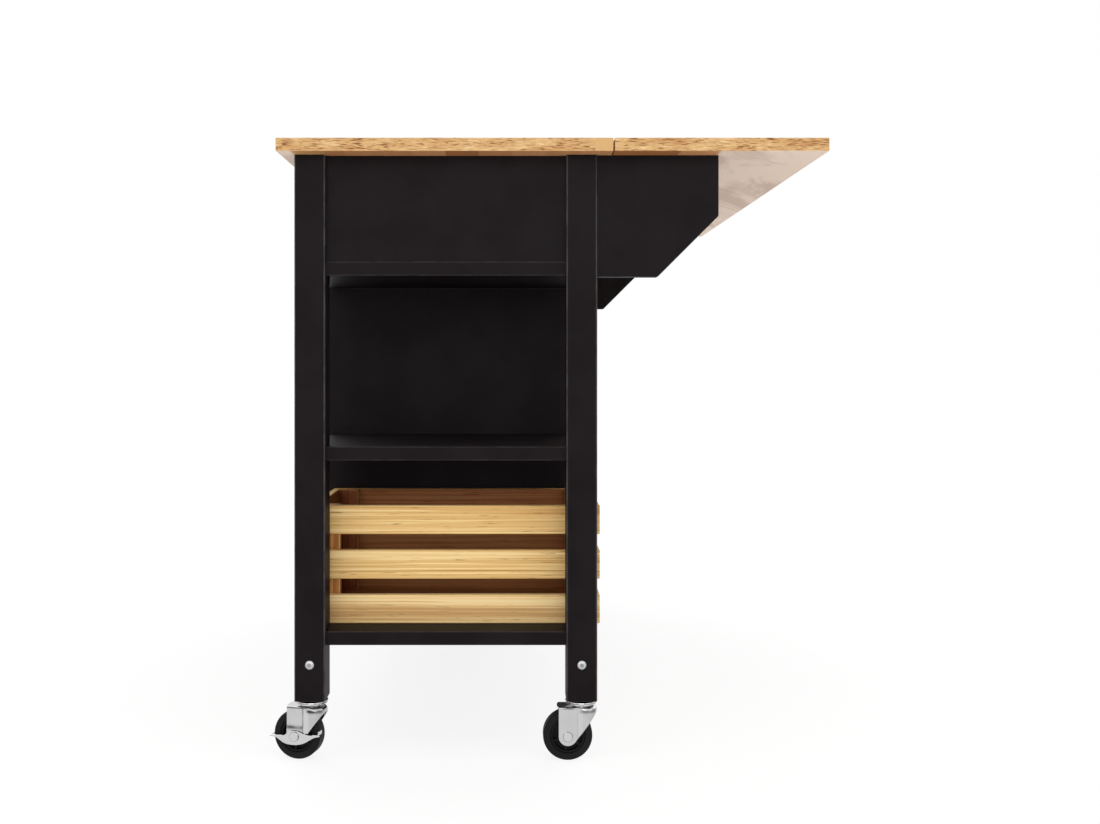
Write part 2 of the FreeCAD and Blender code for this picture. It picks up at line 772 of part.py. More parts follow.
def make_crate():
    """An open crate of three rows of slats on four corner posts, round a bottom board."""
    place = ("crate_x", "crate_y", "crate_z")
    rows = [f"{row} * (slat_height + slat_gap)" for row in range(3)]
    long_slats = new_body("crate_long_slats", *place)
    for y_low in ("0", "crate_width - slat_thickness"):
        sketch = new_sketch(long_slats, "XZ_Plane", f"0 - ({y_low})")
        for low in rows:
            draw_box(sketch, "0", "crate_length", low, f"{low} + slat_height")
        pad(long_slats, sketch, "slat_thickness", reverse=True)
    break_edges(long_slats)
    end_slats = new_body("crate_end_slats", *place)
    for x_low in ("0", "crate_length - slat_thickness"):
        sketch = new_sketch(end_slats, "YZ_Plane", x_low)
        for low in rows:
            draw_box(sketch, "slat_thickness", "crate_width - slat_thickness", low,
                     f"{low} + slat_height")
        pad(end_slats, sketch, "slat_thickness")
    break_edges(end_slats)
    inside = {"x": ("slat_thickness", "crate_length - slat_thickness"),
              "y": ("slat_thickness", "crate_width - slat_thickness")}
    posts = new_body("crate_posts", *place)
    sketch = new_sketch(posts, "XY_Plane")
    for x_side in (0, 1):
        for y_side in (0, 1):
            x_range = inner_end(inside["x"], x_side, "post_width")
            y_range = inner_end(inside["y"], y_side, "post_depth")
            draw_box(sketch, *x_range, *y_range)
    pad(posts, sketch, "crate_height")
    break_edges(posts)
    bottom = new_body("crate_bottom", *place)
    sketch = new_sketch(bottom, "XY_Plane")
    draw_outline(sketch, [
        ("slat_thickness + post_width", "slat_thickness"),
        ("crate_length - slat_thickness - post_width", "slat_thickness"),
        ("crate_length - slat_thickness - post_width", "slat_thickness + post_depth"),
        ("crate_length - slat_thickness", "slat_thickness + post_depth"),
        ("crate_length - slat_thickness", "crate_width - slat_thickness - post_depth"),
        ("crate_length - slat_thickness - post_width", "crate_width - slat_thickness - post_depth"),
        ("crate_length - slat_thickness - post_width", "crate_width - slat_thickness"),
        ("slat_thickness + post_width", "crate_width - slat_thickness"),
        ("slat_thickness + post_width", "crate_width - slat_thickness - post_depth"),
        ("slat_thickness", "crate_width - slat_thickness - post_depth"),
        ("slat_thickness", "slat_thickness + post_depth"),
        ("slat_thickness + post_width", "slat_thickness + post_depth"),
    ])
    pad(bottom, sketch, "crate_floor")


def inner_end(span, side, width):
    """The stretch of this width at the low (0) or high (1) end of a span."""
    low, high = span
    return (low, f"{low} + {width}") if side == 0 else (f"{high} - {width}", high)


# ---------------------------------------------------------------- doors and drawers


def make_knob(label, x, y, z):
    """A turned knob on a stem, facing -X."""
    body = new_body(label, x, y, z, axes(BACK, LEFT))
    sketch = new_sketch(body, "XY_Plane")
    draw_outline(sketch, [
        ("0", "0"),
        ("knob_stem", "0"),
        ("knob_stem", "knob_neck"),
        ("knob_radius", "knob_rim_low", "knob_rim_round"),
        ("knob_radius", "knob_rim_high", "knob_face_round"),
        ("knob_face", "knob_reach", "knob_face_round"),
        ("0", "knob_reach"),
    ])
    revolve(body, sketch)


def make_doors():
    z_low = "bottom_top + front_gap"
    knob_z = f"{z_low} + door_height - knob_from_top"
    near_y_low = "near_door_pin_y + barrel_radius"
    upright_y("near_door", near_y_low, f"{near_y_low} + door_length", "face_x",
              "front_thickness", z_low, f"{z_low} + door_height")
    make_knob("near_door_knob", "face_x", f"{near_y_low} + door_length - knob_from_edge", knob_z)
    far_y_high = "far_door_pin_y - barrel_radius"
    upright_y("far_door", f"{far_y_high} - door_length", far_y_high, "face_x",
              "front_thickness", z_low, f"{z_low} + door_height")
    make_knob("far_door_knob", "face_x", f"{far_y_high} - door_length + knob_from_edge", knob_z)


def make_drawer(side, y_low):
    """One drawer: front, box of two sides, back and bottom, knob, and its runner bars."""
    front_y = f"{y_low} + front_gap"
    z_low = "deck_top + front_gap"
    upright_y(f"{side}_drawer_front", front_y, f"{front_y} + drawer_front_length", "face_x",
              "front_thickness", z_low, f"{z_low} + drawer_front_height")
    make_knob(f"{side}_drawer_knob", "face_x", f"{y_low} + drawer_opening / 2",
              "deck_top + drawer_zone / 2")
    box = new_body(f"{side}_drawer_box", "box_x", f"{y_low} + runner_gap", "box_z")
    walls = new_sketch(box, "XY_Plane")
    draw_box(walls, "0", "box_length", "0", "box_side")
    draw_box(walls, "0", "box_length", "box_width - box_side", "box_width")
    pad(box, walls, "box_height")
    back = new_sketch(box, "XY_Plane")
    draw_box(back, "box_length - box_side", "box_length", "box_side", "box_width - box_side")
    pad(box, back, "box_height")
    bottom = new_sketch(box, "XY_Plane", "box_side")
    draw_box(bottom, "0", "box_length - box_side", "box_side", "box_width - box_side")
    pad(box, bottom, "box_bottom")
    bars = new_body(f"{side}_drawer_runner_bars", "box_x", y_low, "runner_z")
    sketch = new_sketch(bars, "XZ_Plane", "0 - runner_gap")
    draw_box(sketch, "0", "bar_length", "0 - bar_height / 2", "bar_height / 2")
    pad(bars, sketch, "bar_thickness")
    sketch = new_sketch(bars, "XZ_Plane", "0 - (drawer_opening - runner_gap)")
    draw_box(sketch, "0", "bar_length", "0 - bar_height / 2", "bar_height / 2")
    pad(bars, sketch, "bar_thickness", reverse=True)


def make_drawers():
    make_drawer("near", "near_y + leg_width")
    make_drawer("far", "panel_thickness / 2")


def make_runner_channels():
    """Four channels, open towards the drawers, on the battens and on the divider."""
    body = new_body("drawer_runner_channels", "box_x", "0", "runner_z")
    half = "channel_height / 2"
    for face, side in (("near_y + leg_width", 1), ("0 - panel_thickness / 2", -1),
                       ("panel_thickness / 2", 1), ("far_y - leg_width", -1)):
        inner = f"{face} + {side} * channel_wall"
        lip = f"{face} + {side} * channel_depth"
        sketch = new_sketch(body, "YZ_Plane")
        draw_outline(sketch, [
            (face, f"0 - {half}"),
            (lip, f"0 - {half}"),
            (lip, f"channel_wall - {half}"),
            (inner, f"channel_wall - {half}"),
            (inner, f"{half} - channel_wall"),
            (lip, f"{half} - channel_wall"),
            (lip, half),
            (face, half),
        ])
        pad(body, sketch, "channel_length")


def make_runner_battens():
    """Battens that fill the step between each end apron and the legs' inner faces."""
    body = new_body("runner_battens", "front_x + leg_width", "0", "runner_z")
    sketch = new_sketch(body, "XY_Plane")
    length = "frame_depth - 2 * leg_width"
    near_low, near_high = "near_y + panel_recess + panel_thickness", "near_y + leg_width"
    draw_box(sketch, "0", length, near_low, near_high)
    draw_box(sketch, "0", length, f"0 - ({near_high})", f"0 - ({near_low})")
    pad(body, sketch, "channel_height + batten_margin", both=True)
    break_edges(body)


# ---------------------------------------------------------------- casters

# A caster in its own frame: the swivel axis is Z, the floor is Z = 0 and the wheel trails
# towards -X.


def fork_plan(sketch, inset, rear_reach):
    """The fork seen from above: two flat sides, and a nose in front that bulges out from them."""
    nose = f"fork_front_radius - {inset}"
    half = f"fork_inside / 2 + fork_wall - {inset}"
    rear = f"0 - caster_trail - fork_boss - {rear_reach}"
    radius, lead, side_y, rear_x = value(nose), value("nose_lead"), value(half), value(rear)
    behind = math.sqrt(radius ** 2 - side_y ** 2)
    joint_x = lead - behind
    circle = Part.Circle(Vector(lead, 0, 0), Vector(0, 0, 1), radius)
    swing = math.atan2(side_y, -behind)
    arc = sketch.addGeometry(Part.ArcOfCircle(circle, -swing, swing), False)
    points = [Vector(joint_x, side_y, 0), Vector(rear_x, side_y, 0), Vector(rear_x, -side_y, 0),
              Vector(joint_x, -side_y, 0)]
    lines = [sketch.addGeometry(Part.LineSegment(points[i], points[i + 1]), False)
             for i in range(3)]
    rules = [Sketcher.Constraint("Coincident", arc, 2, lines[0], 1),
             Sketcher.Constraint("Coincident", lines[0], 2, lines[1], 1),
             Sketcher.Constraint("Coincident", lines[1], 2, lines[2], 1),
             Sketcher.Constraint("Coincident", lines[2], 2, arc, 1),
             Sketcher.Constraint("Horizontal", lines[0]),
             Sketcher.Constraint("Horizontal", lines[2])]
    for rule in rules:
        sketch.addConstraint(rule)
    hold_radius(sketch, arc, nose)
    hold_point(sketch, arc, 3, "nose_lead", "0")
    hold_point(sketch, lines[1], 1, rear, half)
    hold_point(sketch, lines[1], 2, rear, f"0 - ({half})")


def fork_side(sketch):
    """The fork seen from the side: upright behind, slanting in front down to the axle's boss."""
    trail, height, boss = value("0 - caster_trail"), value("wheel_radius"), value("fork_boss")
    top, shoulder, front = value("fork_top"), value("fork_shoulder"), value("fork_side_front")
    middle = Vector(trail, height, 0)
    corner = Vector(front, shoulder, 0)
    reach = corner - middle
    turn = math.atan2(reach.y, reach.x) - math.acos(boss / reach.Length)
    touch = middle + Vector(math.cos(turn), math.sin(turn), 0) * boss
    arc = sketch.addGeometry(
        Part.ArcOfCircle(Part.Circle(middle, Vector(0, 0, 1), boss), math.pi, turn + 2 * math.pi),
        False)
    points = [touch, corner, Vector(front, top, 0), Vector(trail - boss, top, 0),
              Vector(trail - boss, height, 0)]
    lines = [sketch.addGeometry(Part.LineSegment(points[i], points[i + 1]), False)
             for i in range(4)]
    rules = [Sketcher.Constraint("Tangent", arc, 2, lines[0], 1),
             Sketcher.Constraint("Coincident", lines[0], 2, lines[1], 1),
             Sketcher.Constraint("Coincident", lines[1], 2, lines[2], 1),
             Sketcher.Constraint("Coincident", lines[2], 2, lines[3], 1),
             Sketcher.Constraint("Tangent", lines[3], 2, arc, 1),
             Sketcher.Constraint("Vertical", lines[3])]
    for rule in rules:
        sketch.addConstraint(rule)
    hold_radius(sketch, arc, "fork_boss")
    hold_point(sketch, arc, 3, "0 - caster_trail", "wheel_radius")
    hold_point(sketch, lines[1], 1, "fork_side_front", "fork_shoulder")
    hold_point(sketch, lines[1], 2, "fork_side_front", "fork_top")
    index = sketch.addConstraint(
        Sketcher.Constraint("DistanceY", -1, 1, lines[2], 2, value("fork_top")))
    sketch.setExpression(f"Constraints[{index}]", bound("fork_top"))


def make_fork(label, x, y, yaw, braked):
    """A pressed fork with its ball race on top, hollow below and open behind, and its axle."""
    body = new_body(label, x, y, "0", turn_z(value(yaw)))
    side = new_sketch(body, "XZ_Plane")
    fork_side(side)
    pad(body, side, "4 * fork_front_radius", both=True)
    around = new_sketch(body, "XY_Plane")
    fork_plan(around, "0", "0")
    draw_circle(around, "0", "0", "4 * fork_front_radius")
    cut(body, around, "fork_top + cut_margin", reverse=True)
    round_chosen(body, "fork_crown_radius",
                 lambda edge: edge.BoundBox.ZMin > value("fork_top") - SAME)
    hollow = new_sketch(body, "XY_Plane")
    fork_plan(hollow, "fork_wall", "cut_margin")
    cut(body, hollow, "fork_top - fork_wall", reverse=True)
    race = new_sketch(body, "XY_Plane", "fork_top - fork_wall / 2")
    draw_circle(race, "0", "0", "race_radius")
    pad(body, race, "fork_wall / 2 + race_height")
    pivot = new_sketch(body, "XY_Plane")
    draw_circle(pivot, "0", "0", "stem_radius + stem_clearance")
    cut(body, pivot, "fork_top + race_height + cut_margin", reverse=True)
    axle_hole = new_sketch(body, "XZ_Plane")
    draw_circle(axle_hole, "0 - caster_trail", "wheel_radius", "axle_radius")
    cut(body, axle_hole, "4 * fork_front_radius", both=True)
    add_axle(body, braked)


def add_axle(body, braked):
    """The rivet that the wheel turns on, a solid of its own. A braked one carries the lever."""
    inner = "fork_inside / 2 + fork_wall + axle_end_play"
    near_end = "lever_side + fit_gap" if braked else inner
    sketch = new_sketch(body, "XZ_Plane", f"0 - ({inner})")
    draw_circle(sketch, "0 - caster_trail", "wheel_radius", "axle_radius - axle_clearance")
    pad(body, sketch, f"{inner} + {near_end}")
    for face, reverse in ((near_end, False), (f"0 - ({inner})", True)):
        head = new_sketch(body, "XZ_Plane", face)
        draw_circle(head, "0 - caster_trail", "wheel_radius", "axle_head")
        pad(body, head, "axle_head_depth", reverse=reverse)


def wheel_place(x, y, yaw):
    """Where the wheel's centre comes for a caster at x, y turned by yaw."""
    return (f"{x} - caster_trail * cos({yaw})", f"{y} - caster_trail * sin({yaw})",
            "wheel_radius", turn_z(value(yaw)))


def make_tyre(label, x, y, yaw):
    body = new_body(label, *wheel_place(x, y, yaw))
    sketch = new_sketch(body, "XY_Plane")
    half = "tyre_width / 2"
    draw_outline(sketch, [
        ("hub_radius", f"0 - {half}"),
        ("wheel_radius", f"0 - {half}", "tyre_corner"),
        ("wheel_radius", half, "tyre_corner"),
        ("hub_radius", half),
    ])
    revolve(body, sketch)


def make_hub(label, x, y, yaw):
    """A moulded hub: boss, thin web with ribs, and the rim that carries the tyre."""
    body = new_body(label, *wheel_place(x, y, yaw))
    sketch = new_sketch(body, "XY_Plane")
    web, rim, boss = "web_thickness / 2", "hub_width / 2", "boss_end"
    bore, rim_inside = "axle_radius + axle_clearance", "hub_radius - rim_wall"
    draw_outline(sketch, [
        (bore, f"0 - ({boss})"), ("hub_boss", f"0 - ({boss})"), ("hub_boss", f"0 - {web}"),
        (rim_inside, f"0 - {web}"), (rim_inside, f"0 - {rim}"), ("hub_radius", f"0 - {rim}"),
        ("hub_radius", rim), (rim_inside, rim), (rim_inside, web), ("hub_boss", web),
        ("hub_boss", boss), (bore, boss),
    ])
    revolve(body, sketch)
    rib = new_sketch(body, "XY_Plane")
    draw_box(rib, "hub_boss - rib_overlap", f"{rim_inside} + rib_overlap",
             f"rib_recess - {rim}", f"{rim} - rib_recess")
    first_rib = pad(body, rib, "rib_thickness", both=True)
    pattern = body.newObject("PartDesign::PolarPattern", f"{body.Name}_ribs")
    pattern.Originals = [first_rib]
    pattern.Axis = (rib, ["V_Axis"])
    pattern.Angle = 360
    pattern.Occurrences = 6
    body.Tip = pattern
    doc.recompute()


def make_lever(label, x, y, yaw):
    """The brake lever: a leaf-shaped plate over the axle with a tab across each end."""
    body = new_body(label, *wheel_place(x, y, yaw))
    outer = "lever_side"
    reach, tip, waist = value("lever_reach"), value("lever_tip") / 2, value("lever_height") / 2
    sketch = new_sketch(body, "XZ_Plane", f"{outer} - lever_thickness")
    upper = Part.Arc(Vector(reach, tip, 0), Vector(0, waist, 0), Vector(-reach, tip, 0))
    lower = Part.Arc(Vector(-reach, -tip, 0), Vector(0, -waist, 0), Vector(reach, -tip, 0))
    over = sketch.addGeometry(upper, False)
    under = sketch.addGeometry(lower, False)
    rear = sketch.addGeometry(Part.LineSegment(Vector(-reach, tip, 0), Vector(-reach, -tip, 0)))
    front = sketch.addGeometry(Part.LineSegment(Vector(reach, -tip, 0), Vector(reach, tip, 0)))
    for first, second in ((over, rear), (rear, under), (under, front), (front, over)):
        sketch.addConstraint(Sketcher.Constraint("Coincident", first, 2, second, 1))
    hold_point(sketch, rear, 1, "0 - lever_reach", "lever_tip / 2")
    hold_point(sketch, rear, 2, "0 - lever_reach", "0 - lever_tip / 2")
    hold_point(sketch, front, 1, "lever_reach", "0 - lever_tip / 2")
    hold_point(sketch, front, 2, "lever_reach", "lever_tip / 2")
    draw_circle(sketch, "0", "0", "axle_radius + axle_clearance")
    pad(body, sketch, "lever_thickness")
    for low, high in (("lever_reach - tab_overlap", "lever_reach + lever_tab"),
                      ("0 - lever_reach - lever_tab", "tab_overlap - lever_reach")):
        tab = new_sketch(body, "XZ_Plane", outer)
        draw_box(tab, low, high, "0 - lever_tip / 2", "lever_tab_height - lever_tip / 2")
        pad(body, tab, "lever_tab_width", reverse=True)


def make_caster_mounts():
    """Four swivel mounts: a riveted pivot, the upper race, its neck, and the stem in the leg."""
    body = new_body("caster_mounts")
    rivet_top = "fork_top - fork_wall - fit_gap"
    levels = [(f"{rivet_top} - rivet_depth", rivet_top, "rivet_radius"),
              (rivet_top, "cap_under", "stem_radius"),
              ("cap_under", "cap_top", "cap_radius"),
              ("cap_top", "caster_height", "neck_radius"),
              ("caster_height", "caster_height + stem_length", "stem_radius")]
    for low, high, radius in levels:
        sketch = new_sketch(body, "XY_Plane", low)
        for x, y, _side in leg_centres():
            draw_circle(sketch, x, y, radius)
        pad(body, sketch, f"({high}) - ({low})")
    cap = value("cap_radius")
    round_chosen(body, "cap_edge", lambda edge: is_circle(edge, cap))


def make_casters():
    make_caster_mounts()
    for corner, x, y, yaw, braked in (
            ("near_front", "front_leg_x", "near_leg_y", "front_yaw", True),
            ("near_rear", "rear_leg_x", "near_leg_y", "near_rear_yaw", False),
            ("far_front", "front_leg_x", "far_leg_y", "far_front_yaw", True),
            ("far_rear", "rear_leg_x", "far_leg_y", "far_rear_yaw", False)):
        make_fork(f"caster_fork_{corner}", x, y, yaw, braked)
        make_hub(f"caster_hub_{corner}", x, y, yaw)
        make_tyre(f"caster_tyre_{corner}", x, y, yaw)
        if braked:
            make_lever(f"brake_lever_{corner}", x, y, yaw)


# ---------------------------------------------------------------- checks and files


def check_document():
    for item in doc.Objects:
        if {"Invalid", "Error"} & set(item.State):
            raise RuntimeError(f"{item.Label}: {item.State}")
    for piece in pieces:
        if piece.Shape.isNull() or not piece.Shape.isValid() or not piece.Shape.Solids:
            raise RuntimeError(f"{piece.Label}: no valid solid")


def write_parts():
    os.makedirs("parts", exist_ok=True)
    for piece in pieces:
        piece.Shape.exportStep(f"parts/{piece.Label}.step")
        print(f"{piece.Label}: {len(piece.Shape.Solids)} solid(s), {piece.Shape.Volume:.0f} mm3")


fill_sheet()
make_worktop()
make_legs()
make_boards()
make_panels()
make_corner_blocks()
make_leg_bolts()
make_hinges()
make_drop_leaf()
make_supports()
make_crate()
make_doors()
make_drawers()
make_runner_channels()
make_runner_battens()
make_casters()
doc.recompute()
check_document()
write_parts()
print(f"{len(pieces)} nodes")
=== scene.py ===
import json
import math

import bpy
import numpy as np
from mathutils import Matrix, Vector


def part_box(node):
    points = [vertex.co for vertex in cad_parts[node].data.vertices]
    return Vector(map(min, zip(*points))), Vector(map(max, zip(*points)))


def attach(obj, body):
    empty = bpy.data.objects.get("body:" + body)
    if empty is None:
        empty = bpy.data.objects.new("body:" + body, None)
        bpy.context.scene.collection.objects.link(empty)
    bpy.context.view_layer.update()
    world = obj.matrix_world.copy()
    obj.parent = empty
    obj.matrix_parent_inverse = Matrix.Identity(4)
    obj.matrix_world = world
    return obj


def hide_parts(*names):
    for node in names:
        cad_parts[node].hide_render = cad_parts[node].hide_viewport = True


bl_info = {
    "name": "Drop Leaf Kitchen Island",
    "version": (1, 0, 0),
    "blender": (4, 5, 0),
    "location": "3D View > Sidebar > Island",
    "description": "Boards, hinges, crate, drawers and casters of a drop leaf kitchen island",
    "category": "Add Mesh",
}

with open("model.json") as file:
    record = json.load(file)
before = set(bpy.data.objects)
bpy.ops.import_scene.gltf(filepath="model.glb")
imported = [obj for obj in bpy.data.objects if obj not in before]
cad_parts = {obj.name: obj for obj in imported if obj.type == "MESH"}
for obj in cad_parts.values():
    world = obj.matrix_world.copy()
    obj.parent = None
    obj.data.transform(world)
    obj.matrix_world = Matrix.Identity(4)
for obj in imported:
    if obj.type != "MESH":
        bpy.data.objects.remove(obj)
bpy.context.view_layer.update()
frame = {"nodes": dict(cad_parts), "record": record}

CORNERS = ("near_front", "near_rear", "far_front", "far_rear")
BRAKED = ("near_front", "far_front")
MM = 0.001  # a millimetre, in metres
OWN = "island_"  # starts the names of the materials made here, as the loaded parts have theirs


# ---------------------------------------------------------------- settings


def length(name, description, default, low=0.0, high=3.0):
    """A size in metres."""
    return bpy.props.FloatProperty(
        name=name, description=description, default=default, min=low, max=high,
        unit="LENGTH", subtype="DISTANCE", precision=4)


def share(name, description, default):
    """A number from 0 to 1."""
    return bpy.props.FloatProperty(
        name=name, description=description, default=default, min=0, max=1, subtype="FACTOR")


def angle(name, description, degrees):
    return bpy.props.FloatProperty(
        name=name, description=description, default=math.radians(degrees),
        unit="ROTATION", subtype="ANGLE")


def tone(name, description, *values):
    """A colour, given as 0 to 255 the way a paint chart would."""
    linear = [(v / 255 / 12.92) if v <= 10 else ((v / 255 + 0.055) / 1.055) ** 2.4 for v in values]
    return bpy.props.FloatVectorProperty(
        name=name, description=description, default=linear, size=3, min=0, max=1,
        subtype="COLOR")


class IslandWood(bpy.types.PropertyGroup):
    """Colours and staves of the wooden pieces."""

    oak: tone("Oak", "Middle tone of the worktop and leaf", 216, 172, 114)
    oak_light: tone("Oak highlights", "Lightest streaks of the worktop", 240, 206, 152)
    oak_dark: tone("Oak shade", "Darkest streaks of the worktop", 191, 136, 82)
    oak_pore: tone("Oak pores", "Short dark flecks in the grain", 132, 74, 36)
    # Painted shade: the browner, darker strip below the worktop's ends, where the dark frame below keeps
    # light off the bare face.
    strip: tone("Overhang strip", "Oiled strip below the ends of the worktop", 222, 168, 118)
    strip_dark: tone("Overhang strip, dark staves", "Darker staves of that strip", 186, 128, 82)
    underside: tone("Underside", "Bare face below the worktop and leaf", 243, 218, 197)
    underside_vein: tone("Underside veins", "Darker veins of the bare face", 215, 185, 164)
    pine: tone("Pine", "Middle tone of the crate", 229, 186, 117)
    pine_light: tone("Pine highlights", "Light lines of the crate's grain", 249, 216, 154)
    pine_dark: tone("Pine shade", "Dark lines of the crate's grain", 201, 149, 82)
    pine_dash: tone("Pine dashes", "Short dark dashes in the crate's grain", 134, 84, 38)
    # Painted light: what the lowest slats gain against the shade of the dark shelf below them.
    pine_pale: tone("Pine, paler slats", "What the lowest slats add to the pine's tone", 84, 80, 68)
    # Painted shade: the posts stand behind the slats, and their tone is darkened for the shade they
    # stand in, less on their rounded edges.
    pine_post: tone("Pine posts", "What the posts' redder wood leaves of it", 200, 168, 136)
    # Painted shade: what is left of the pine's tone on the faces that look into the crate.
    pine_inside: tone("Pine inside", "What is left of that tone inside the crate", 176, 136, 112)
    stave_width: length("Stave width", "Width of one glued stave of the worktop", 0.046)
    stave_length: length("Stave length", "Length of one stave between finger joints", 0.38)


class IslandFinish(bpy.types.PropertyGroup):
    """Colours of paint, metal, rubber and plastic."""

    paint: tone("Black paint", "Satin paint of the frame", 22, 17, 19)
    # Painted highlight: the light line that the rounded edges of the black paint catch.
    paint_edge: tone("Paint at the edges", "Thin paint on the broken edges", 80, 76, 76)
    chrome: tone("Chrome", "Plating of the casters", 206, 205, 206)
    # Painted reflection and shade: dark bands where the chrome would mirror the dark frame, and the dark
    # of the ball race, the axle heads' rims and the bolts' sockets.
    chrome_dark: tone("Chrome, dark bands", "Bands where the plating mirrors the dark frame", 44, 42, 43)
    steel: tone("Steel", "Bolts, hinges and runners", 186, 187, 189)
    nickel: tone("Nickel", "Brushed knobs", 196, 191, 183)
    rubber: tone("Rubber", "Tyres", 23, 21, 22)
    plastic: tone("Plastic", "Wheel hubs", 16, 15, 15)


class IslandEdges(bpy.types.PropertyGroup):
    """How the boards' edges and corners are cut."""

    board: length("Board edge", "Rounding of the boards' edges", 0.0009)
    top: length("Worktop edge", "Rounding of the worktop's and the leaf's edges", 0.0005)
    corner: length("Board corner", "Rounding of the boards' corners, seen flat on", 0.0015)
    leg: length("Leg edge", "Rounding of the legs' long edges", 0.0026)
    front: length("Front edge", "Rounding of the doors' and drawers' edges", 0.0016)
    slat: length("Slat edge", "Rounding of the crate's slats", 0.0012)
    metal: length("Metal edge", "Rounding of stamped and rolled metal", 0.0003)
    partition_lip: length("Partition lip", "From the doors' face out to the partition's", 0.0055)
    block_depth: length("Corner block depth", "Size of the corner blocks along the island", 0.030)
    support_cut: length("Support cut", "Size of the supports' 45 degree corner", 0.085)
    support_corner: length("Support corner", "Rounding at the ends of that cut", 0.004)


class IslandHinges(bpy.types.PropertyGroup):
    """The butt hinges and the leg bolts."""

    plate_length: length("Plate length", "Length of a hinge along its pin", 0.050)
    plate_width: length("Plate width", "From the pin to the plate's outer edge", 0.018)
    plate_clear: length("Plate clearance", "From the pin to the plate's inner edge", 0.0025)
    plate_thickness: length("Plate thickness", "Thickness of the plate", 0.0012)
    barrel: length("Barrel radius", "Radius of the knuckles", 0.002)
    knuckle_gap: length("Knuckle gap", "Gap between two knuckles", 0.0003)
    screw: length("Screw radius", "Radius of the countersunk screws", 0.0029)
    screw_pitch: length("Screw pitch", "Distance between a plate's screws", 0.017)
    bolt_head: length("Bolt head radius", "Radius of the button heads", 0.00625)
    bolt_head_depth: length("Bolt head depth", "Depth of the button heads", 0.0025)
    bolt_socket: length("Bolt socket", "Distance across the socket's flats", 0.005)
    bolt_shank: length("Bolt radius", "Radius of the bolts' shanks", 0.003)
    bolt_length: length("Bolt length", "From below the head to the bolt's end", 0.065)


class IslandCrate(bpy.types.PropertyGroup):
    """The slatted crate."""

    slat: length("Slat height", "Height of each slat", 0.041)
    slat_gap: length("Slat gap", "Gap between two slats", 0.023)
    post_width: length("Post width", "Width of the corner posts along the crate", 0.0315)
    post_depth: length("Post depth", "Depth of the corner posts", 0.015)


class IslandDrawers(bpy.types.PropertyGroup):
    """Drawers, runners and knobs."""

    side: length("Drawer side", "Thickness of the drawer's sides and back", 0.012)
    bottom: length("Drawer bottom", "Thickness of the drawer's bottom", 0.006)
    bar: length("Runner bar", "Thickness of the bars on the drawer's sides", 0.010)
    channel: length("Channel depth", "Depth of the runner channels", 0.009)
    channel_wall: length("Channel wall", "Thickness of the channels' sheet", 0.0015)
    knob_stem: length("Knob stem", "Radius of the knob's stem", 0.006)
    knob_neck: length("Knob neck", "Where the stem starts to widen", 0.0112)
    knob_rim_low: length("Knob rim, inner", "Where the rim starts", 0.0162)
    knob_rim_high: length("Knob rim, outer", "Where the rim ends", 0.0212)
    knob_face: length("Knob face", "Radius of the knob's flat face", 0.0084)


class IslandCasters(bpy.types.PropertyGroup):
    """The swivel casters."""

    trail: length("Trail", "From the swivel axis back to the axle", 0.019)
    wall: length("Fork wall", "Thickness of the pressed fork", 0.0018)
    half_width: length("Fork half width", "From the middle to a side's outer face", 0.015)
    nose: length("Nose radius", "Radius of the fork's round front", 0.017)
    nose_lead: length("Nose lead", "From the swivel axis forward to the nose's centre", 0.005)
    boss: length("Boss radius", "Radius of the fork round the axle", 0.0127)
    crown: length("Crown height", "Top of the fork above the floor", 0.075)
    front: length("Front corner", "Where the slanting edge would meet the shoulder", 0.026)
    shoulder: length("Shoulder height", "Height of that meeting point", 0.0733)
    side_round: length("Side rounding", "Rounding between the crown and the sides", 0.0021)
    nose_round: length("Nose rounding", "Rounding between the crown and the nose", 0.0052)
    tail: length("Crown tail", "How far the crown reaches behind the sides", 0.0025)
    joggle: length("Joggle", "Step in the lever's side of a braked fork", 0.0009)
    joggle_high: length("Joggle top", "Height at which the step starts", 0.0492)
    joggle_low: length("Joggle foot", "Height at which the step ends", 0.0443)
    pivot: length("Pivot radius", "Radius of the pivot and of the stem", 0.006)
    pivot_head: length("Pivot head", "Radius of the pivot's lower head", 0.009)
    pivot_head_depth: length("Pivot head depth", "Depth of that head", 0.002)
    race: length("Race radius", "Radius of the ball race", 0.012)
    race_top: length("Race top", "Top of the ball race above the floor", 0.0785)
    axle: length("Axle radius", "Radius of the wheel's axle", 0.00395)
    axle_head: length("Axle head", "Radius of the axle's heads", 0.007)
    axle_end: length("Axle end", "From the middle to below an axle head", 0.01505)
    axle_head_depth: length("Axle head depth", "Depth of the axle's heads", 0.002)
    lever_face: length("Lever face", "From the middle to the lever's outer face", 0.0188)
    lever_thickness: length("Lever thickness", "Thickness of the brake lever", 0.0015)
    hub_boss: length("Hub boss", "Radius of the hub's boss", 0.009)
    hub_web: length("Hub web", "Thickness of the hub's web", 0.005)
    hub_wall: length("Hub rim", "Thickness of the hub's rim", 0.003)
    hub_rib: length("Hub rib", "Thickness of a rib", 0.002)
    hub_proud: length("Hub boss end", "From the tyre's side out to the boss's end", 0.001)
    hub_half: length("Hub half width", "From the middle to the hub rim's edge", 0.009)
    tyre_shoulder: length("Tyre shoulder", "Rounding of the tyre's shoulders", 0.004)
    tyre_half: length("Tyre half width", "From the middle to the tyre's side", 0.011)
    tyre_depth: length("Tyre depth", "From the tread in to the hub", 0.0105)
    rib_start: angle("First rib", "Turn of the first of the hub's six ribs", 22)
    yaw_near_front: angle("Near front", "Turn of this caster", -14)
    yaw_near_rear: angle("Near rear", "Turn of this caster", 0)
    yaw_far_front: angle("Far front", "Turn of this caster", 20)
    yaw_far_rear: angle("Far rear", "Turn of this caster", -30)


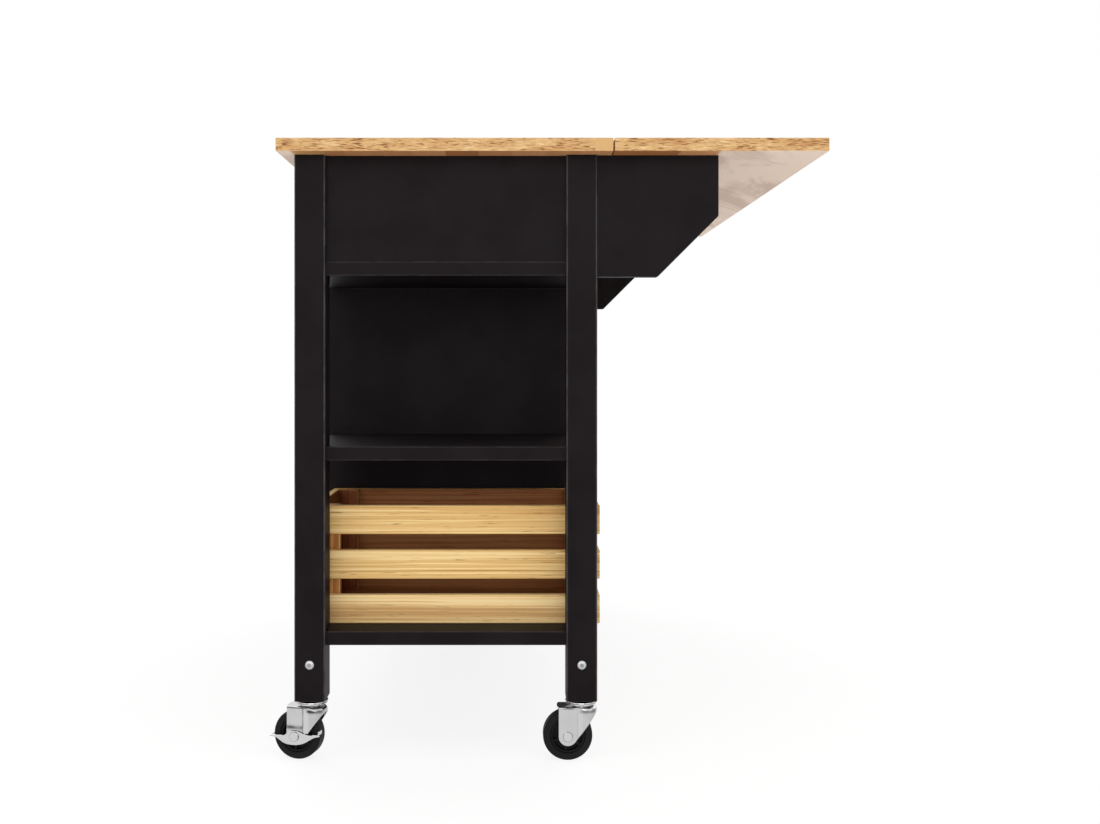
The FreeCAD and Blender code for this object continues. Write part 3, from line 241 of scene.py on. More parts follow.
class IslandStage(bpy.types.PropertyGroup):
    """Floor, lamps and camera."""

    floor: tone("Floor", "Colour of the floor", 240, 240, 240)
    floor_seen: tone("Floor as seen", "Its colour to the camera and in reflections", 132, 132, 132)
    floor_glow: share("Floor glow", "Light that the floor adds to its own colour as seen", 0.84)
    floor_fill: share("Floor fill", "Light that the floor sends up below the boards", 0.24)
    sky: share("Sky", "Even light from all round", 0.36)
    lamps: share("Lamps", "Strength of the lamps", 1.0)
    eye_height: length("Eye height", "Height of the camera above the floor", 0.558)
    eye_distance: length("Eye distance", "From the camera to the legs' near faces", 1.616)
    eye_side: length("Eye side", "From the frame's front face to the camera's axis", 0.3087)
    focal: bpy.props.FloatProperty(
        name="Focal length", description="Lens of the camera on a 36 mm sensor", default=38.2,
        min=10, max=200, unit="CAMERA")
    shift: bpy.props.FloatVectorProperty(
        name="Shift", description="Sideways and upward shift of the lens", size=2,
        default=(0.030, -0.047))


def settings(name):
    return getattr(bpy.context.scene, "island_" + name)


# ---------------------------------------------------------------- surfaces


def unit(vectors):
    return vectors / np.linalg.norm(vectors, axis=-1, keepdims=True)


def smooth_step(low, high, values):
    """0 below low, 1 above high, and 3 t^2 - 2 t^3 between them."""
    t = np.clip((np.asarray(values, float) - low) / (high - low), 0, 1)
    return t * t * (3 - 2 * t)


def rounded_path(corners, radius, steps=5, closed=True):
    """Points and outward normals along a polygon with rounded corners.

    At a corner p between unit directions a (back) and b (ahead), the arc's centre is
    p + (a + b) / |a + b| * r / sin(half the angle between them), and it runs from p + a * r / tan(half)
    through pi - 2 * half. The polygon runs anticlockwise, so its outward side is on the right.
    An open path keeps its two end points.
    """
    p = np.array(corners, float)
    r = np.broadcast_to(np.asarray(radius, float), len(p)).copy()
    a, b = np.roll(p, 1, 0) - p, np.roll(p, -1, 0) - p
    if not closed:
        ends, first, last = p[[0, -1]], unit(p[1] - p[0]), unit(p[-1] - p[-2])
        p, r, a, b = p[1:-1], r[1:-1], a[1:-1], b[1:-1]
    a, b = unit(a), unit(b)
    half = np.arccos(np.clip((a * b).sum(1), -1, 1)) / 2
    turn = -np.sign(a[:, 0] * b[:, 1] - a[:, 1] * b[:, 0])
    centre = p + unit(a + b) * (r / np.sin(half))[:, None]
    spoke = p + a * (r / np.tan(half))[:, None] - centre
    sweep = (turn * (math.pi - 2 * half))[:, None] * np.linspace(0, 1, steps)
    c, s = np.cos(sweep), np.sin(sweep)
    x, y = spoke[:, :1], spoke[:, 1:]
    arm = np.stack([x * c - y * s, x * s + y * c], -1)
    points = (centre[:, None] + arm).reshape(-1, 2)
    normals = (unit(arm) * turn[:, None, None]).reshape(-1, 2)
    if not closed:
        side = np.array([[first[1], -first[0]], [last[1], -last[0]]])
        points = np.concatenate([ends[:1], points, ends[1:]])
        normals = np.concatenate([side[:1], normals, side[1:]])
    return points, normals


def smooth_loop(points, steps=8):
    """A closed curve through the points, as a Catmull-Rom spline, and its outward normals.

    Between p1 and p2 the curve is ((2 p1) + (p2 - p0) t + (2 p0 - 5 p1 + 4 p2 - p3) t^2
    + (3 p1 - p0 - 3 p2 + p3) t^3) / 2. The loop runs anticlockwise.
    """
    p1 = np.array(points, float)[:, None]
    p0, p2, p3 = (np.roll(p1, shift, 0) for shift in (1, -1, -2))
    t = np.linspace(0, 1, steps, endpoint=False)[None, :, None]
    curve = (2 * p1 + (p2 - p0) * t + (2 * p0 - 5 * p1 + 4 * p2 - p3) * t ** 2
             + (3 * p1 - p0 - 3 * p2 + p3) * t ** 3) / 2
    curve = curve.reshape(-1, 2)
    ahead = unit(np.roll(curve, -1, 0) - np.roll(curve, 1, 0))
    return curve, np.stack([ahead[:, 1], -ahead[:, 0]], -1)


def grid_faces(rows, columns, wrap_rows=False, wrap_columns=False):
    """The quads of a grid of rows by columns, whose last row or column may join the first."""
    i = np.arange(rows if wrap_rows else rows - 1)[:, None]
    j = np.arange(columns if wrap_columns else columns - 1)[None, :]
    i2, j2 = (i + 1) % rows, (j + 1) % columns
    quads = np.stack([i * columns + j, i * columns + j2, i2 * columns + j2, i2 * columns + j], -1)
    return quads.reshape(-1, 4).tolist()


def shape(points, normals, faces, **marks):
    """One surface: its points, its normals, its faces, and a number at each point for each mark."""
    count = len(points)
    kept = {name: np.broadcast_to(np.asarray(value, float), count) for name, value in marks.items()}
    return {"points": points, "normals": normals, "faces": faces, "marks": kept}


def remarked(surface, **marks):
    """The surface with these numbers at its points instead of its own."""
    return shape(surface["points"], surface["normals"], surface["faces"], **marks)


def merged(*shapes):
    """Several surfaces as one."""
    starts = np.cumsum([0] + [len(s["points"]) for s in shapes])
    faces = [[v + int(start) for v in face] for s, start in zip(shapes, starts) for face in s["faces"]]
    names = {name for s in shapes for name in s["marks"]}
    marks = {name: np.concatenate([s["marks"].get(name, np.zeros(len(s["points"]))) for s in shapes])
             for name in names}
    return shape(np.concatenate([s["points"] for s in shapes]),
                 np.concatenate([s["normals"] for s in shapes]), faces, **marks)


def placed(surface, x_to=(1, 0, 0), y_to=(0, 1, 0), at=(0, 0, 0)):
    """The surface with its x and y axes turned to these directions, then moved."""
    x_to, y_to = np.array(x_to, float), np.array(y_to, float)
    turn = np.stack([x_to, y_to, np.cross(x_to, y_to)])
    return shape(surface["points"] @ turn + np.array(at, float), surface["normals"] @ turn,
                 surface["faces"], **surface["marks"])


def swung(surface, yaw, at=(0, 0, 0)):
    """The surface turned about z by yaw, then moved."""
    c, s = math.cos(yaw), math.sin(yaw)
    return placed(surface, (c, s, 0), (-s, c, 0), at)


FRAMES = {  # where a prism's own x and y axes point when it is drawn along x, y or z
    "x": ((0, 1, 0), (0, 0, 1)),
    "y": ((1, 0, 0), (0, 0, 1)),
    "z": ((1, 0, 0), (0, 1, 0)),
}


def prism(outline, low, high, edge, along="z", corner=0.0, steps=4, board=0.0):
    """A board: an outline carried along x, y or z, with its edges rounded to a quarter circle.

    Ring k lies at inset e * (1 - cos t) and level e * (1 - sin t) from the end face, for t from
    90 degrees on the face to 0 on the side, so the rings trace a quarter circle of radius e.
    """
    points, outward = rounded_path(outline, np.maximum(corner, edge * 1.05), steps + 1)
    if along == "y":
        low, high = -high, -low
    t = np.linspace(math.pi / 2, 0, steps)
    inset = np.concatenate([edge * (1 - np.cos(t)), edge * (1 - np.cos(t[::-1]))])
    level = np.concatenate([low + edge * (1 - np.sin(t)), high - edge * (1 - np.sin(t[::-1]))])
    tilt = np.concatenate([-np.sin(t), np.sin(t[::-1])])
    level_out = np.concatenate([np.cos(t), np.cos(t[::-1])])
    rings, around = len(level), len(points)
    flat = points[None] - inset[:, None, None] * outward[None]
    spots = np.concatenate([flat, np.broadcast_to(level[:, None, None], (rings, around, 1))], -1)
    faced = np.concatenate([outward[None] * level_out[:, None, None],
                            np.broadcast_to(tilt[:, None, None], (rings, around, 1))], -1)
    faces = grid_faces(rings, around, wrap_columns=True)
    faces += [list(range(around))[::-1], list(range((rings - 1) * around, rings * around))]
    # The edge mark is 1 on the rounded edges and corners: there the black paint gets a painted
    # highlight, and the crate's posts keep less of their painted shade.
    rim = np.sin(2 * np.arccos(np.clip(level_out, 0, 1)))[:, None]
    arris = np.tile(np.sin(math.pi * np.arange(steps + 1) / steps), len(outline))[None]
    arris = arris * np.r_[0, np.ones(rings - 2), 0][:, None]
    surface = shape(spots.reshape(-1, 3), faced.reshape(-1, 3), faces,
                    edge=np.maximum(rim, arris).ravel(), board=board)
    return placed(surface, *FRAMES[along])


def box_outline(u, v):
    return [(u[0], v[0]), (u[1], v[0]), (u[1], v[1]), (u[0], v[1])]


def plank(low, high, along, edge, corner=0.0, board=0.0, steps=4):
    """A straight board between two corner points, with its outline seen along one axis."""
    axis = "xyz".index(along)
    u, v = [k for k in range(3) if k != axis]
    outline = box_outline((low[u], high[u]), (low[v], high[v]))
    return prism(outline, low[axis], high[axis], edge, along, corner, steps, board)


def turned(path, sides=48, six_sided=None, closed=False):
    """A turned surface: the path (radius, height) carried round the z axis.

    Point (i, j) is (r_i cos a_j, r_i sin a_j, h_i). A path that starts or ends on the axis closes
    there in one point; a closed path, as a tyre's section is, joins its own start. Where
    six_sided is 1 the radius is a hexagon's inner radius: r / cos(a - the middle of its side).
    """
    (r, h), (nr, nh) = path[0].T, path[1].T
    rows = len(r)
    a = np.linspace(0, 2 * math.pi, sides, endpoint=False)
    c, s = np.cos(a), np.sin(a)
    reach = np.repeat(r[:, None], sides, 1)
    if six_sided is not None:
        side = math.pi / 3
        grown = 1 / np.cos((a + side / 2) % side - side / 2)
        reach = reach * (1 + np.asarray(six_sided, float)[:, None] * (grown - 1))
    points = np.stack([reach * c, reach * s, np.repeat(h[:, None], sides, 1)], -1).reshape(-1, 3)
    normals = np.stack([nr[:, None] * c, nr[:, None] * s, np.repeat(nh[:, None], sides, 1)], -1)
    quads = np.array(grid_faces(rows, sides, wrap_rows=closed, wrap_columns=True))
    index = np.arange(rows * sides)
    for row in (0, rows - 1):
        if r[row] < 1e-9 and not closed:
            index[row * sides:(row + 1) * sides] = row * sides
    used, packed = np.unique(index, return_inverse=True)
    faces = [[v for k, v in enumerate(face) if v != face[k - 1]] for face in packed[quads].tolist()]
    return shape(points[used], normals.reshape(-1, 3)[used], faces)


def washer(outline, outward, hole, low, high, edge):
    """A plate with a round hole: the ring of its section, carried round the outline.

    Row by row the section climbs the hole's wall, crosses the upper face to the outline, follows a
    quarter circle of radius e over its edge and down, and comes back across the lower face.
    Column k joins the outline's point k to the hole's point in the same direction.
    """
    toward = unit(outline)
    t = np.linspace(math.pi / 2, 0, 4)
    across = np.concatenate([[0, 0, 0.5], np.ones(8), [0.5]])
    inset = np.concatenate([[0, 0, 0], edge * (1 - np.cos(t)), edge * (1 - np.cos(t[::-1])), [0]])
    level = np.concatenate([[low, high, high], high - edge * (1 - np.sin(t)),
                            low + edge * (1 - np.sin(t[::-1])), [low]])
    flat = ((1 - across)[:, None, None] * hole * toward[None]
            + across[:, None, None] * (outline[None] - inset[:, None, None] * outward[None]))
    rows, around = len(level), len(outline)
    points = np.concatenate([flat, np.broadcast_to(level[:, None, None], (rows, around, 1))], -1)
    faces = grid_faces(rows, around, wrap_rows=True, wrap_columns=True)
    return shape(points.reshape(-1, 3), np.zeros((rows * around, 3)), [face[::-1] for face in faces])


def add_mesh(name, surface, material, body, nodes, sharp=None, sheet=None):
    """Put a surface into the scene as one piece that stands for CAD nodes of the same body.

    Its normals are the surface's own, or are split where faces meet at more than sharp degrees.
    With sheet, the surface is the outer face of metal of that thickness.
    """
    mesh = bpy.data.meshes.new(name)
    mesh.from_pydata(surface["points"].tolist(), [], surface["faces"])
    for mark, values in surface["marks"].items():
        layer = mesh.attributes.new(mark, "FLOAT", "POINT")
        layer.data.foreach_set("value", np.ascontiguousarray(values, np.float32))
    mesh.polygons.foreach_set("use_smooth", np.ones(len(mesh.polygons), bool))
    mesh.update()
    if sharp is None:
        mesh.normals_split_custom_set_from_vertices(unit(surface["normals"]).tolist())
    else:
        mesh.set_sharp_from_angle(angle=math.radians(sharp))
    piece = bpy.data.objects.new(name, mesh)
    bpy.context.scene.collection.objects.link(piece)
    if sheet:
        solid = piece.modifiers.new("Sheet", "SOLIDIFY")
        solid.thickness, solid.offset, solid.use_even_offset = sheet, -1, True
        rounded = piece.modifiers.new("Edges", "BEVEL")
        rounded.width, rounded.segments = settings("edges").metal, 2
        rounded.limit_method, rounded.angle_limit = "ANGLE", math.radians(50)
        rounded.harden_normals = True
    mesh.materials.append(look(material))
    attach(piece, body)
    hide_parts(*nodes)
    return piece


def look(name):
    """This file's own material for a slot of the record."""
    return bpy.data.materials[OWN + name]


def size_of(node):
    low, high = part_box(node)
    return np.array(low), np.array(high)


# ---------------------------------------------------------------- materials


class Tree:
    """Short ways to add nodes to a material or a group, and to join them."""

    def __init__(self, tree):
        self.tree = tree

    def add(self, kind, **values):
        node = self.tree.nodes.new("ShaderNode" + kind)
        for key, value in values.items():
            setattr(node, key, value)
        return node

    def feed(self, socket, source):
        if isinstance(source, bpy.types.NodeSocket):
            self.tree.links.new(source, socket)
        else:
            socket.default_value = source

    def math(self, operation, *sources, clamp=False):
        node = self.add("Math", operation=operation, use_clamp=clamp)
        for socket, source in zip(node.inputs, sources):
            self.feed(socket, source)
        return node.outputs[0]

    def times(self, *sources):
        product = sources[0]
        for source in sources[1:]:
            product = self.math("MULTIPLY", product, source)
        return product

    def plus(self, first, second):
        return self.math("ADD", first, second)

    def minus(self, first, second):
        return self.math("SUBTRACT", first, second)

    def off_middle(self, source):
        """How far a number's fraction lies from one half, from 0 to 0.5."""
        return self.math("ABSOLUTE", self.minus(self.math("FRACT", source), 0.5))

    def moved(self, vector, shift):
        node = self.add("VectorMath", operation="ADD")
        self.feed(node.inputs[0], vector)
        self.feed(node.inputs[1], shift)
        return node.outputs[0]

    def blend(self, factor, first, second, mode="MIX"):
        node = self.add("Mix", data_type="RGBA", blend_type=mode)
        self.feed(node.inputs["Factor"], factor)
        self.feed(node.inputs[6], first)
        self.feed(node.inputs[7], second)
        return node.outputs[2]

    def spread(self, source, low, high, to_low=0.0, to_high=1.0):
        """Stretch a range of values to another one, smoothly and within its ends."""
        node = self.add("MapRange", interpolation_type="SMOOTHSTEP")
        self.feed(node.inputs["Value"], source)
        for name, value in (("From Min", low), ("From Max", high), ("To Min", to_low),
                            ("To Max", to_high)):
            self.feed(node.inputs[name], value)
        return node.outputs[0]

    def noise(self, vector, detail=2.0, roughness=0.5, distortion=0.0):
        node = self.add("TexNoise", noise_dimensions="3D")
        self.feed(node.inputs["Vector"], vector)
        for name, value in (("Scale", 1.0), ("Detail", detail), ("Roughness", roughness),
                            ("Distortion", distortion)):
            node.inputs[name].default_value = value
        return node.outputs[0]

    def split(self, vector):
        node = self.add("SeparateXYZ")
        self.feed(node.inputs[0], vector)
        return node.outputs

    def join(self, x, y, z):
        node = self.add("CombineXYZ")
        for socket, source in zip(node.inputs, (x, y, z)):
            self.feed(socket, source)
        return node.outputs[0]

    def place(self, group, **values):
        node = self.add("Group", node_tree=bpy.data.node_groups[group])
        for name, source in values.items():
            self.feed(node.inputs[name.replace("_", " ")], source)
        return node.outputs

    def mark(self, name):
        """A number that the piece carries at each of its points."""
        return self.add("Attribute", attribute_name=name, attribute_type="GEOMETRY").outputs["Fac"]


def new_group(name, inputs, outputs):
    """A shader node group with named sockets, given as (name, kind, default).

    Returns the group's tree, the sockets that bring its inputs and its output node's sockets.
    """
    group = bpy.data.node_groups.new(name, "ShaderNodeTree")
    for label, kind, default in inputs:
        socket = group.interface.new_socket(label, in_out="INPUT", socket_type="NodeSocket" + kind)
        if default is not None:
            socket.default_value = default
    for label, kind in outputs:
        group.interface.new_socket(label, in_out="OUTPUT", socket_type="NodeSocket" + kind)
    given, made = group.nodes.new("NodeGroupInput"), group.nodes.new("NodeGroupOutput")
    return Tree(group), given.outputs, made.inputs


def build_grain_group():
    """Wood grain along the vector's x axis: fine lines, wider bands and short dashes.

    Lines, bands and dashes are noise on the vector stretched by its own number of waves per metre,
    along the grain and across it. Where lines and bands add up to more than their mean the tone
    moves from Middle to Light, and where to less to Dark.
    """
    t, given, made = new_group("Wood Grain", [
        ("Vector", "Vector", None), ("Middle", "Color", None), ("Light", "Color", None),
        ("Dark", "Color", None), ("Dash", "Color", None), ("Line Along", "Float", 8.0),
        ("Line Across", "Float", 500.0), ("Band Along", "Float", 2.0), ("Band Across", "Float", 60.0),
        ("Dash Along", "Float", 60.0), ("Dash Across", "Float", 800.0), ("Dash Start", "Float", 0.60),
        ("Dash Amount", "Float", 0.5), ("Contrast", "Float", 1.0),
    ], [("Color", "Color"), ("Rough", "Float"), ("Height", "Float")])
    x, y, z = t.split(given["Vector"])
    sway = t.noise(t.join(t.times(x, 4.0), t.times(y, 14.0), t.times(z, 14.0)), 1)
    drift = t.times(t.minus(sway, 0.5), 0.006)
    across, depth = t.plus(y, drift), t.plus(z, drift)

    def stretched(name, detail, roughness=0.5):
        along = t.times(x, given[name + " Along"])
        wide = given[name + " Across"]
        return t.noise(t.join(along, t.times(across, wide), t.times(depth, wide)), detail, roughness)

    line, band, dash = stretched("Line", 2, 0.6), stretched("Band", 2), stretched("Dash", 1)
    height = t.plus(t.minus(line, 0.5), t.times(t.minus(band, 0.5), 0.9))
    swing = t.times(height, given["Contrast"])
    full = 0.30  # how far from the mean the tone is fully light or dark
    lit = t.blend(t.spread(swing, 0.0, full), given["Middle"], given["Light"])
    shaded = t.blend(t.spread(swing, 0.0, -full), lit, given["Dark"])
    dashed = t.times(t.spread(dash, given["Dash Start"], t.plus(given["Dash Start"], 0.07)),
                     given["Dash Amount"], t.spread(band, 0.66, 0.46, 0.25, 1.0))
    t.feed(made["Color"], t.blend(dashed, shaded, given["Dash"]))
    t.feed(made["Rough"], t.plus(t.spread(line, 0.3, 0.7, 0.0, 0.10), t.times(dashed, 0.2)))
    t.feed(made["Height"], t.minus(t.times(line, 0.5), dashed))


def build_stave_group():
    """Staves glued side by side along the vector's x axis, with finger joints where they meet.

    A stave's number is the whole part of y / Width and of x / Length plus a random start. The
    number picks its own shift of the grain and its own shade; Joint is 1 on the glue lines.
    """
    t, given, made = new_group("Glued Staves", [
        ("Vector", "Vector", None), ("Width", "Float", 0.046), ("Length", "Float", 0.38),
    ], [("Shift", "Vector"), ("Shade", "Float"), ("Joint", "Float")])
    x, y, _ = t.split(given["Vector"])
    row_place = t.math("DIVIDE", y, given["Width"])
    row = t.math("FLOOR", row_place)
    start = t.add("TexWhiteNoise", noise_dimensions="1D")
    t.feed(start.inputs["W"], row)
    tooth = t.off_middle(t.times(row_place, 5.0))
    column_place = t.plus(t.plus(t.math("DIVIDE", x, given["Length"]),
                                 t.times(start.outputs["Value"], 7.0)), t.times(tooth, 0.05))
    pick = t.add("TexWhiteNoise", noise_dimensions="3D")
    t.feed(pick.inputs["Vector"], t.join(row, t.math("FLOOR", column_place), 0.0))
    shift = t.add("VectorMath", operation="SCALE")
    t.feed(shift.inputs[0], pick.outputs["Color"])
    shift.inputs["Scale"].default_value = 9.0
    joint = t.math("MAXIMUM", t.math("GREATER_THAN", t.off_middle(row_place), 0.491),
                   t.math("GREATER_THAN", t.off_middle(column_place), 0.4985))
    t.feed(made["Shift"], shift.outputs[0])
    t.feed(made["Shade"], pick.outputs["Value"])
    t.feed(made["Joint"], joint)


def build_painted_light_group():
    """A finish that varies: slow smudges in its roughness, and a second colour where the Edge input is:
    painted light, as a highlight on rounded edges, or a dark painted reflection or painted shade on
    metal.
    """
    t, given, made = new_group("Worn Finish", [
        ("Vector", "Vector", None), ("Base", "Color", None), ("Edge Color", "Color", None),
        ("Edge", "Float", 0.0), ("Smudge", "Float", 0.1), ("Rough", "Float", 0.4),
    ], [("Color", "Color"), ("Roughness", "Float"), ("Height", "Float")])
    x, y, z = t.split(given["Vector"])

    def even(waves, detail):
        return t.noise(t.join(t.times(x, waves), t.times(y, waves), t.times(z, waves)), detail)

    painted_edge_light = t.times(given["Edge"], t.spread(even(45.0, 2), 0.35, 0.65, 0.55, 1.0))
    smudge = t.times(t.minus(even(9.0, 3), 0.5), given["Smudge"])
    shade = t.blend(t.spread(even(14.0, 3), 0.35, 0.65, 0.0, 0.04), given["Base"], given["Edge Color"])
    t.feed(made["Color"], t.blend(painted_edge_light, shade, given["Edge Color"]))
    t.feed(made["Roughness"], t.math("ADD", given["Rough"], smudge, clamp=True))
    t.feed(made["Height"], even(700.0, 1))


def new_material(name, **looks):
    """A material with one Principled shader, whose constant sockets are set here."""
    material = bpy.data.materials.new(OWN + name)
    material.use_nodes = True
    shader = material.node_tree.nodes["Principled BSDF"]
    for socket, value in looks.items():
        shader.inputs[socket.replace("_", " ")].default_value = value
    return Tree(material.node_tree), shader.inputs


def bumped(t, inputs, height, strength, distance):
    bump = t.add("Bump")
    bump.inputs["Strength"].default_value = strength
    bump.inputs["Distance"].default_value = distance
    t.feed(bump.inputs["Height"], height)
    t.feed(inputs["Normal"], bump.outputs[0])


def colour(name, group="finish"):
    return (*getattr(settings(group), name), 1.0)


def oak_material():
    """Glued oak staves along y, flecked ends, and a bare light face below, with painted shade in a strip
    below the ends.

    The block is the plain piece of end wood beside the seam. The strip of painted shade, browner and
    darker, lies below the ends' overhang, and each pair is where one of its borders starts and ends to
    fade, in metres.
    """
    wood = settings("wood")
    block_middle, block_half = 0.0125, 0.0122
    strip_from, strip_front = (0.490, 0.495), (-0.352, -0.346)
    strip_rear, strip_plain = (0.242, 0.236), (-0.302, -0.306)
    t, inputs = new_material("oak_top", Specular_IOR_Level=0.25)
    place = t.add("TexCoord").outputs["Object"]
    x, y, z = t.split(place)
    staves = t.place("Glued Staves", Vector=t.join(y, x, z), Width=wood.stave_width,
                     Length=wood.stave_length)
    tones = {"Middle": colour("oak", "wood"), "Light": colour("oak_light", "wood"),
             "Dark": colour("oak_dark", "wood"), "Dash": colour("oak_pore", "wood")}
    face = t.place("Wood Grain", Vector=t.moved(t.join(y, x, z), staves["Shift"]), Dash_Amount=0.5,
                   Line_Along=10.0, Line_Across=420.0, Band_Along=2.5, Band_Across=55.0, **tones)
    seam = size_of("worktop")[1][0]
    block = t.math("LESS_THAN", t.math("ABSOLUTE", t.plus(x, block_middle - seam)), block_half)
    end = t.place("Wood Grain", Vector=t.join(x, z, y), Dash_Amount=t.spread(block, 0, 1, 0.95, 0.0),
                  Line_Along=70.0, Line_Across=620.0, Band_Along=16.0, Band_Across=80.0,
                  Dash_Along=80.0, Dash_Across=880.0, Dash_Start=0.56,
                  Contrast=t.spread(block, 0, 1, 0.95, 0.1), **tones)
    ends = t.mark("end")
    grain = t.blend(ends, face["Color"], end["Color"])
    shade = t.times(t.spread(staves["Shade"], 0, 1, 0, 0.5), t.spread(ends, 0, 1, 1.0, 0.0))
    staved = t.blend(shade, grain, tones["Dark"])
    joint = t.times(staves["Joint"], t.spread(ends, 0, 1, 0.5, 0.0))
    glued = t.blend(joint, staved, tones["Dark"])
    slant = t.minus(t.times(x, 9.0), t.times(y, 5.0))
    veins = t.noise(t.join(slant, t.times(t.plus(t.times(x, 0.5), y), 2.0), z), 4, 0.6, 1.2)
    bare = t.blend(t.spread(veins, 0.45, 0.62), colour("underside", "wood"),
                   colour("underside_vein", "wood"))
    # Painted shade: a strip below the ends, over the frame's length, darker and browner than the bare
    # face, and nearer the oak's middle tone over the leg.
    strip = t.times(t.spread(t.math("ABSOLUTE", y), *strip_from), t.spread(x, *strip_front),
                    t.spread(x, *strip_rear))
    strip_painted_shade = t.blend(t.spread(staves["Shade"], 0.2, 0.8), colour("strip", "wood"),
                    colour("strip_dark", "wood"))
    strip_painted_shade = t.blend(t.spread(x, *strip_plain, 0, 0.8), strip_painted_shade, tones["Middle"])
    below = t.blend(strip, bare, t.blend(0.35, strip_painted_shade, face["Color"], "MULTIPLY"))
    t.feed(inputs["Base Color"], t.blend(t.mark("under"), glued, below))
    t.feed(inputs["Roughness"], t.plus(t.blend(ends, face["Rough"], end["Rough"]), 0.45))
    bumped(t, inputs, t.blend(ends, face["Height"], end["Height"]), 0.2, 0.0002)


def pine_material():
    """Straight pine grain along each board, with its pattern shifted by the board's own number.

    The lowest slats get painted light against the shade of the dark shelf below them; the posts get
    painted shade, lighter at their edges, and the faces inside the crate painted shade too.
    """
    t, inputs = new_material("pine_slats", Specular_IOR_Level=0.25)
    x, y, z = t.split(t.add("TexCoord").outputs["Object"])
    number = t.mark("board")
    crosswise, upright = t.mark("crosswise"), t.mark("upright")
    along = t.blend(upright, t.blend(crosswise, t.join(x, z, y), t.join(y, z, x)), t.join(z, x, y))
    shifted = t.moved(along, t.join(t.times(number, 1.7), t.times(number, 0.37), number))
    grain = t.place("Wood Grain", Vector=shifted, Middle=colour("pine", "wood"),
                    Light=colour("pine_light", "wood"), Dark=colour("pine_dark", "wood"),
                    Dash=colour("pine_dash", "wood"), Line_Along=1.6, Line_Across=390.0,
                    Band_Along=1.0, Band_Across=75.0, Dash_Along=30.0, Dash_Across=520.0,
                    Dash_Start=0.655, Dash_Amount=0.65, Contrast=1.7)
    # Painted shade on the posts, which stand behind the slats; their rounded edges keep more of the
    # light tone, as a painted highlight.
    painted_shade = t.times(upright, t.spread(t.mark("edge"), 0, 0.8, 1.0, 0.25))
    # Painted light: the lowest slats are lifted against the shade of the dark shelf below them.
    low_slats_lit = t.blend(t.mark("pale"), grain["Color"], colour("pine_pale", "wood"), "ADD")
    posts = t.blend(painted_shade, low_slats_lit, colour("pine_post", "wood"), "MULTIPLY")
    # Painted shade on the faces inside the crate.
    t.feed(inputs["Base Color"], t.blend(t.mark("inside"), posts, colour("pine_inside", "wood"),
                                         "MULTIPLY"))
    t.feed(inputs["Roughness"], t.plus(grain["Rough"], 0.45))
    bumped(t, inputs, grain["Height"], 0.15, 0.0002)


def plain_finish(name, base, edge, rough, smudge, bump, **looks):
    """Paint, metal, rubber or plastic: one colour with smudges, and a second colour of painted light
    where the piece's edge mark is: a painted highlight, a dark painted reflection or painted shade.
    """
    t, inputs = new_material(name, **looks)
    finish = t.place("Worn Finish", Vector=t.add("TexCoord").outputs["Object"], Base=base,
                     Edge_Color=edge, Edge=t.mark("edge"), Smudge=smudge, Rough=rough)
    t.feed(inputs["Base Color"], finish["Color"])
    t.feed(inputs["Roughness"], finish["Roughness"])
    bumped(t, inputs, finish["Height"], bump, 0.0001)


def make_materials():
    for build in (build_grain_group, build_stave_group, build_painted_light_group):
        build()
    oak_material()
    pine_material()
    plain_finish("black_paint", colour("paint"), colour("paint_edge"), 0.5, 0.08, 0.05,
                 Specular_IOR_Level=0.06)
    plain_finish("chrome", colour("chrome"), colour("chrome_dark"), 0.12, 0.05, 0.02, Metallic=1.0)
    plain_finish("bright_steel", colour("steel"), colour("chrome_dark"), 0.42, 0.12, 0.05, Metallic=1.0)
    plain_finish("nickel", colour("nickel"), colour("nickel"), 0.24, 0.12, 0.05, Metallic=1.0)
    plain_finish("tyre_rubber", colour("rubber"), colour("paint_edge"), 0.55, 0.12, 0.10,
                 Specular_IOR_Level=0.10)
    plain_finish("hub_plastic", colour("plastic"), colour("paint_edge"), 0.45, 0.10, 0.05,
                 Specular_IOR_Level=0.10)


# ---------------------------------------------------------------- boards


class PieceOperator:
    """What every operator of the island shares."""

    bl_options = {"REGISTER", "UNDO"}


class ISLAND_OT_finishes(PieceOperator, bpy.types.Operator):
    """Make the materials and the node groups that they share"""

    bl_idname = "island.finishes"
    bl_label = "Finishes"

    def execute(self, context):
        make_materials()
        return {"FINISHED"}


def top_board(node, body):
    """A worktop board: its marks say which faces are ends and which face is bare."""
    edges = settings("edges")
    surface = plank(*size_of(node), "z", edges.top, edges.top * 1.2)
    surface["marks"]["end"] = np.abs(surface["normals"][:, 1])
    surface["marks"]["under"] = np.clip(-surface["normals"][:, 2], 0, 1)
    add_mesh(f"{node}_board", surface, "oak_top", body, [node])


def painted(node, surface, body="frame"):
    add_mesh(f"{node}_board", surface, "black_paint", body, [node])


class ISLAND_OT_worktop(PieceOperator, bpy.types.Operator):
    """Make the fixed worktop"""

    bl_idname = "island.worktop"
    bl_label = "Worktop"

    def execute(self, context):
        top_board("worktop", "frame")
        return {"FINISHED"}


class ISLAND_OT_drop_leaf(PieceOperator, bpy.types.Operator):
    """Make the hinged leaf"""

    bl_idname = "island.drop_leaf"
    bl_label = "Drop leaf"

    def execute(self, context):
        top_board("drop_leaf", "leaf")
        return {"FINISHED"}


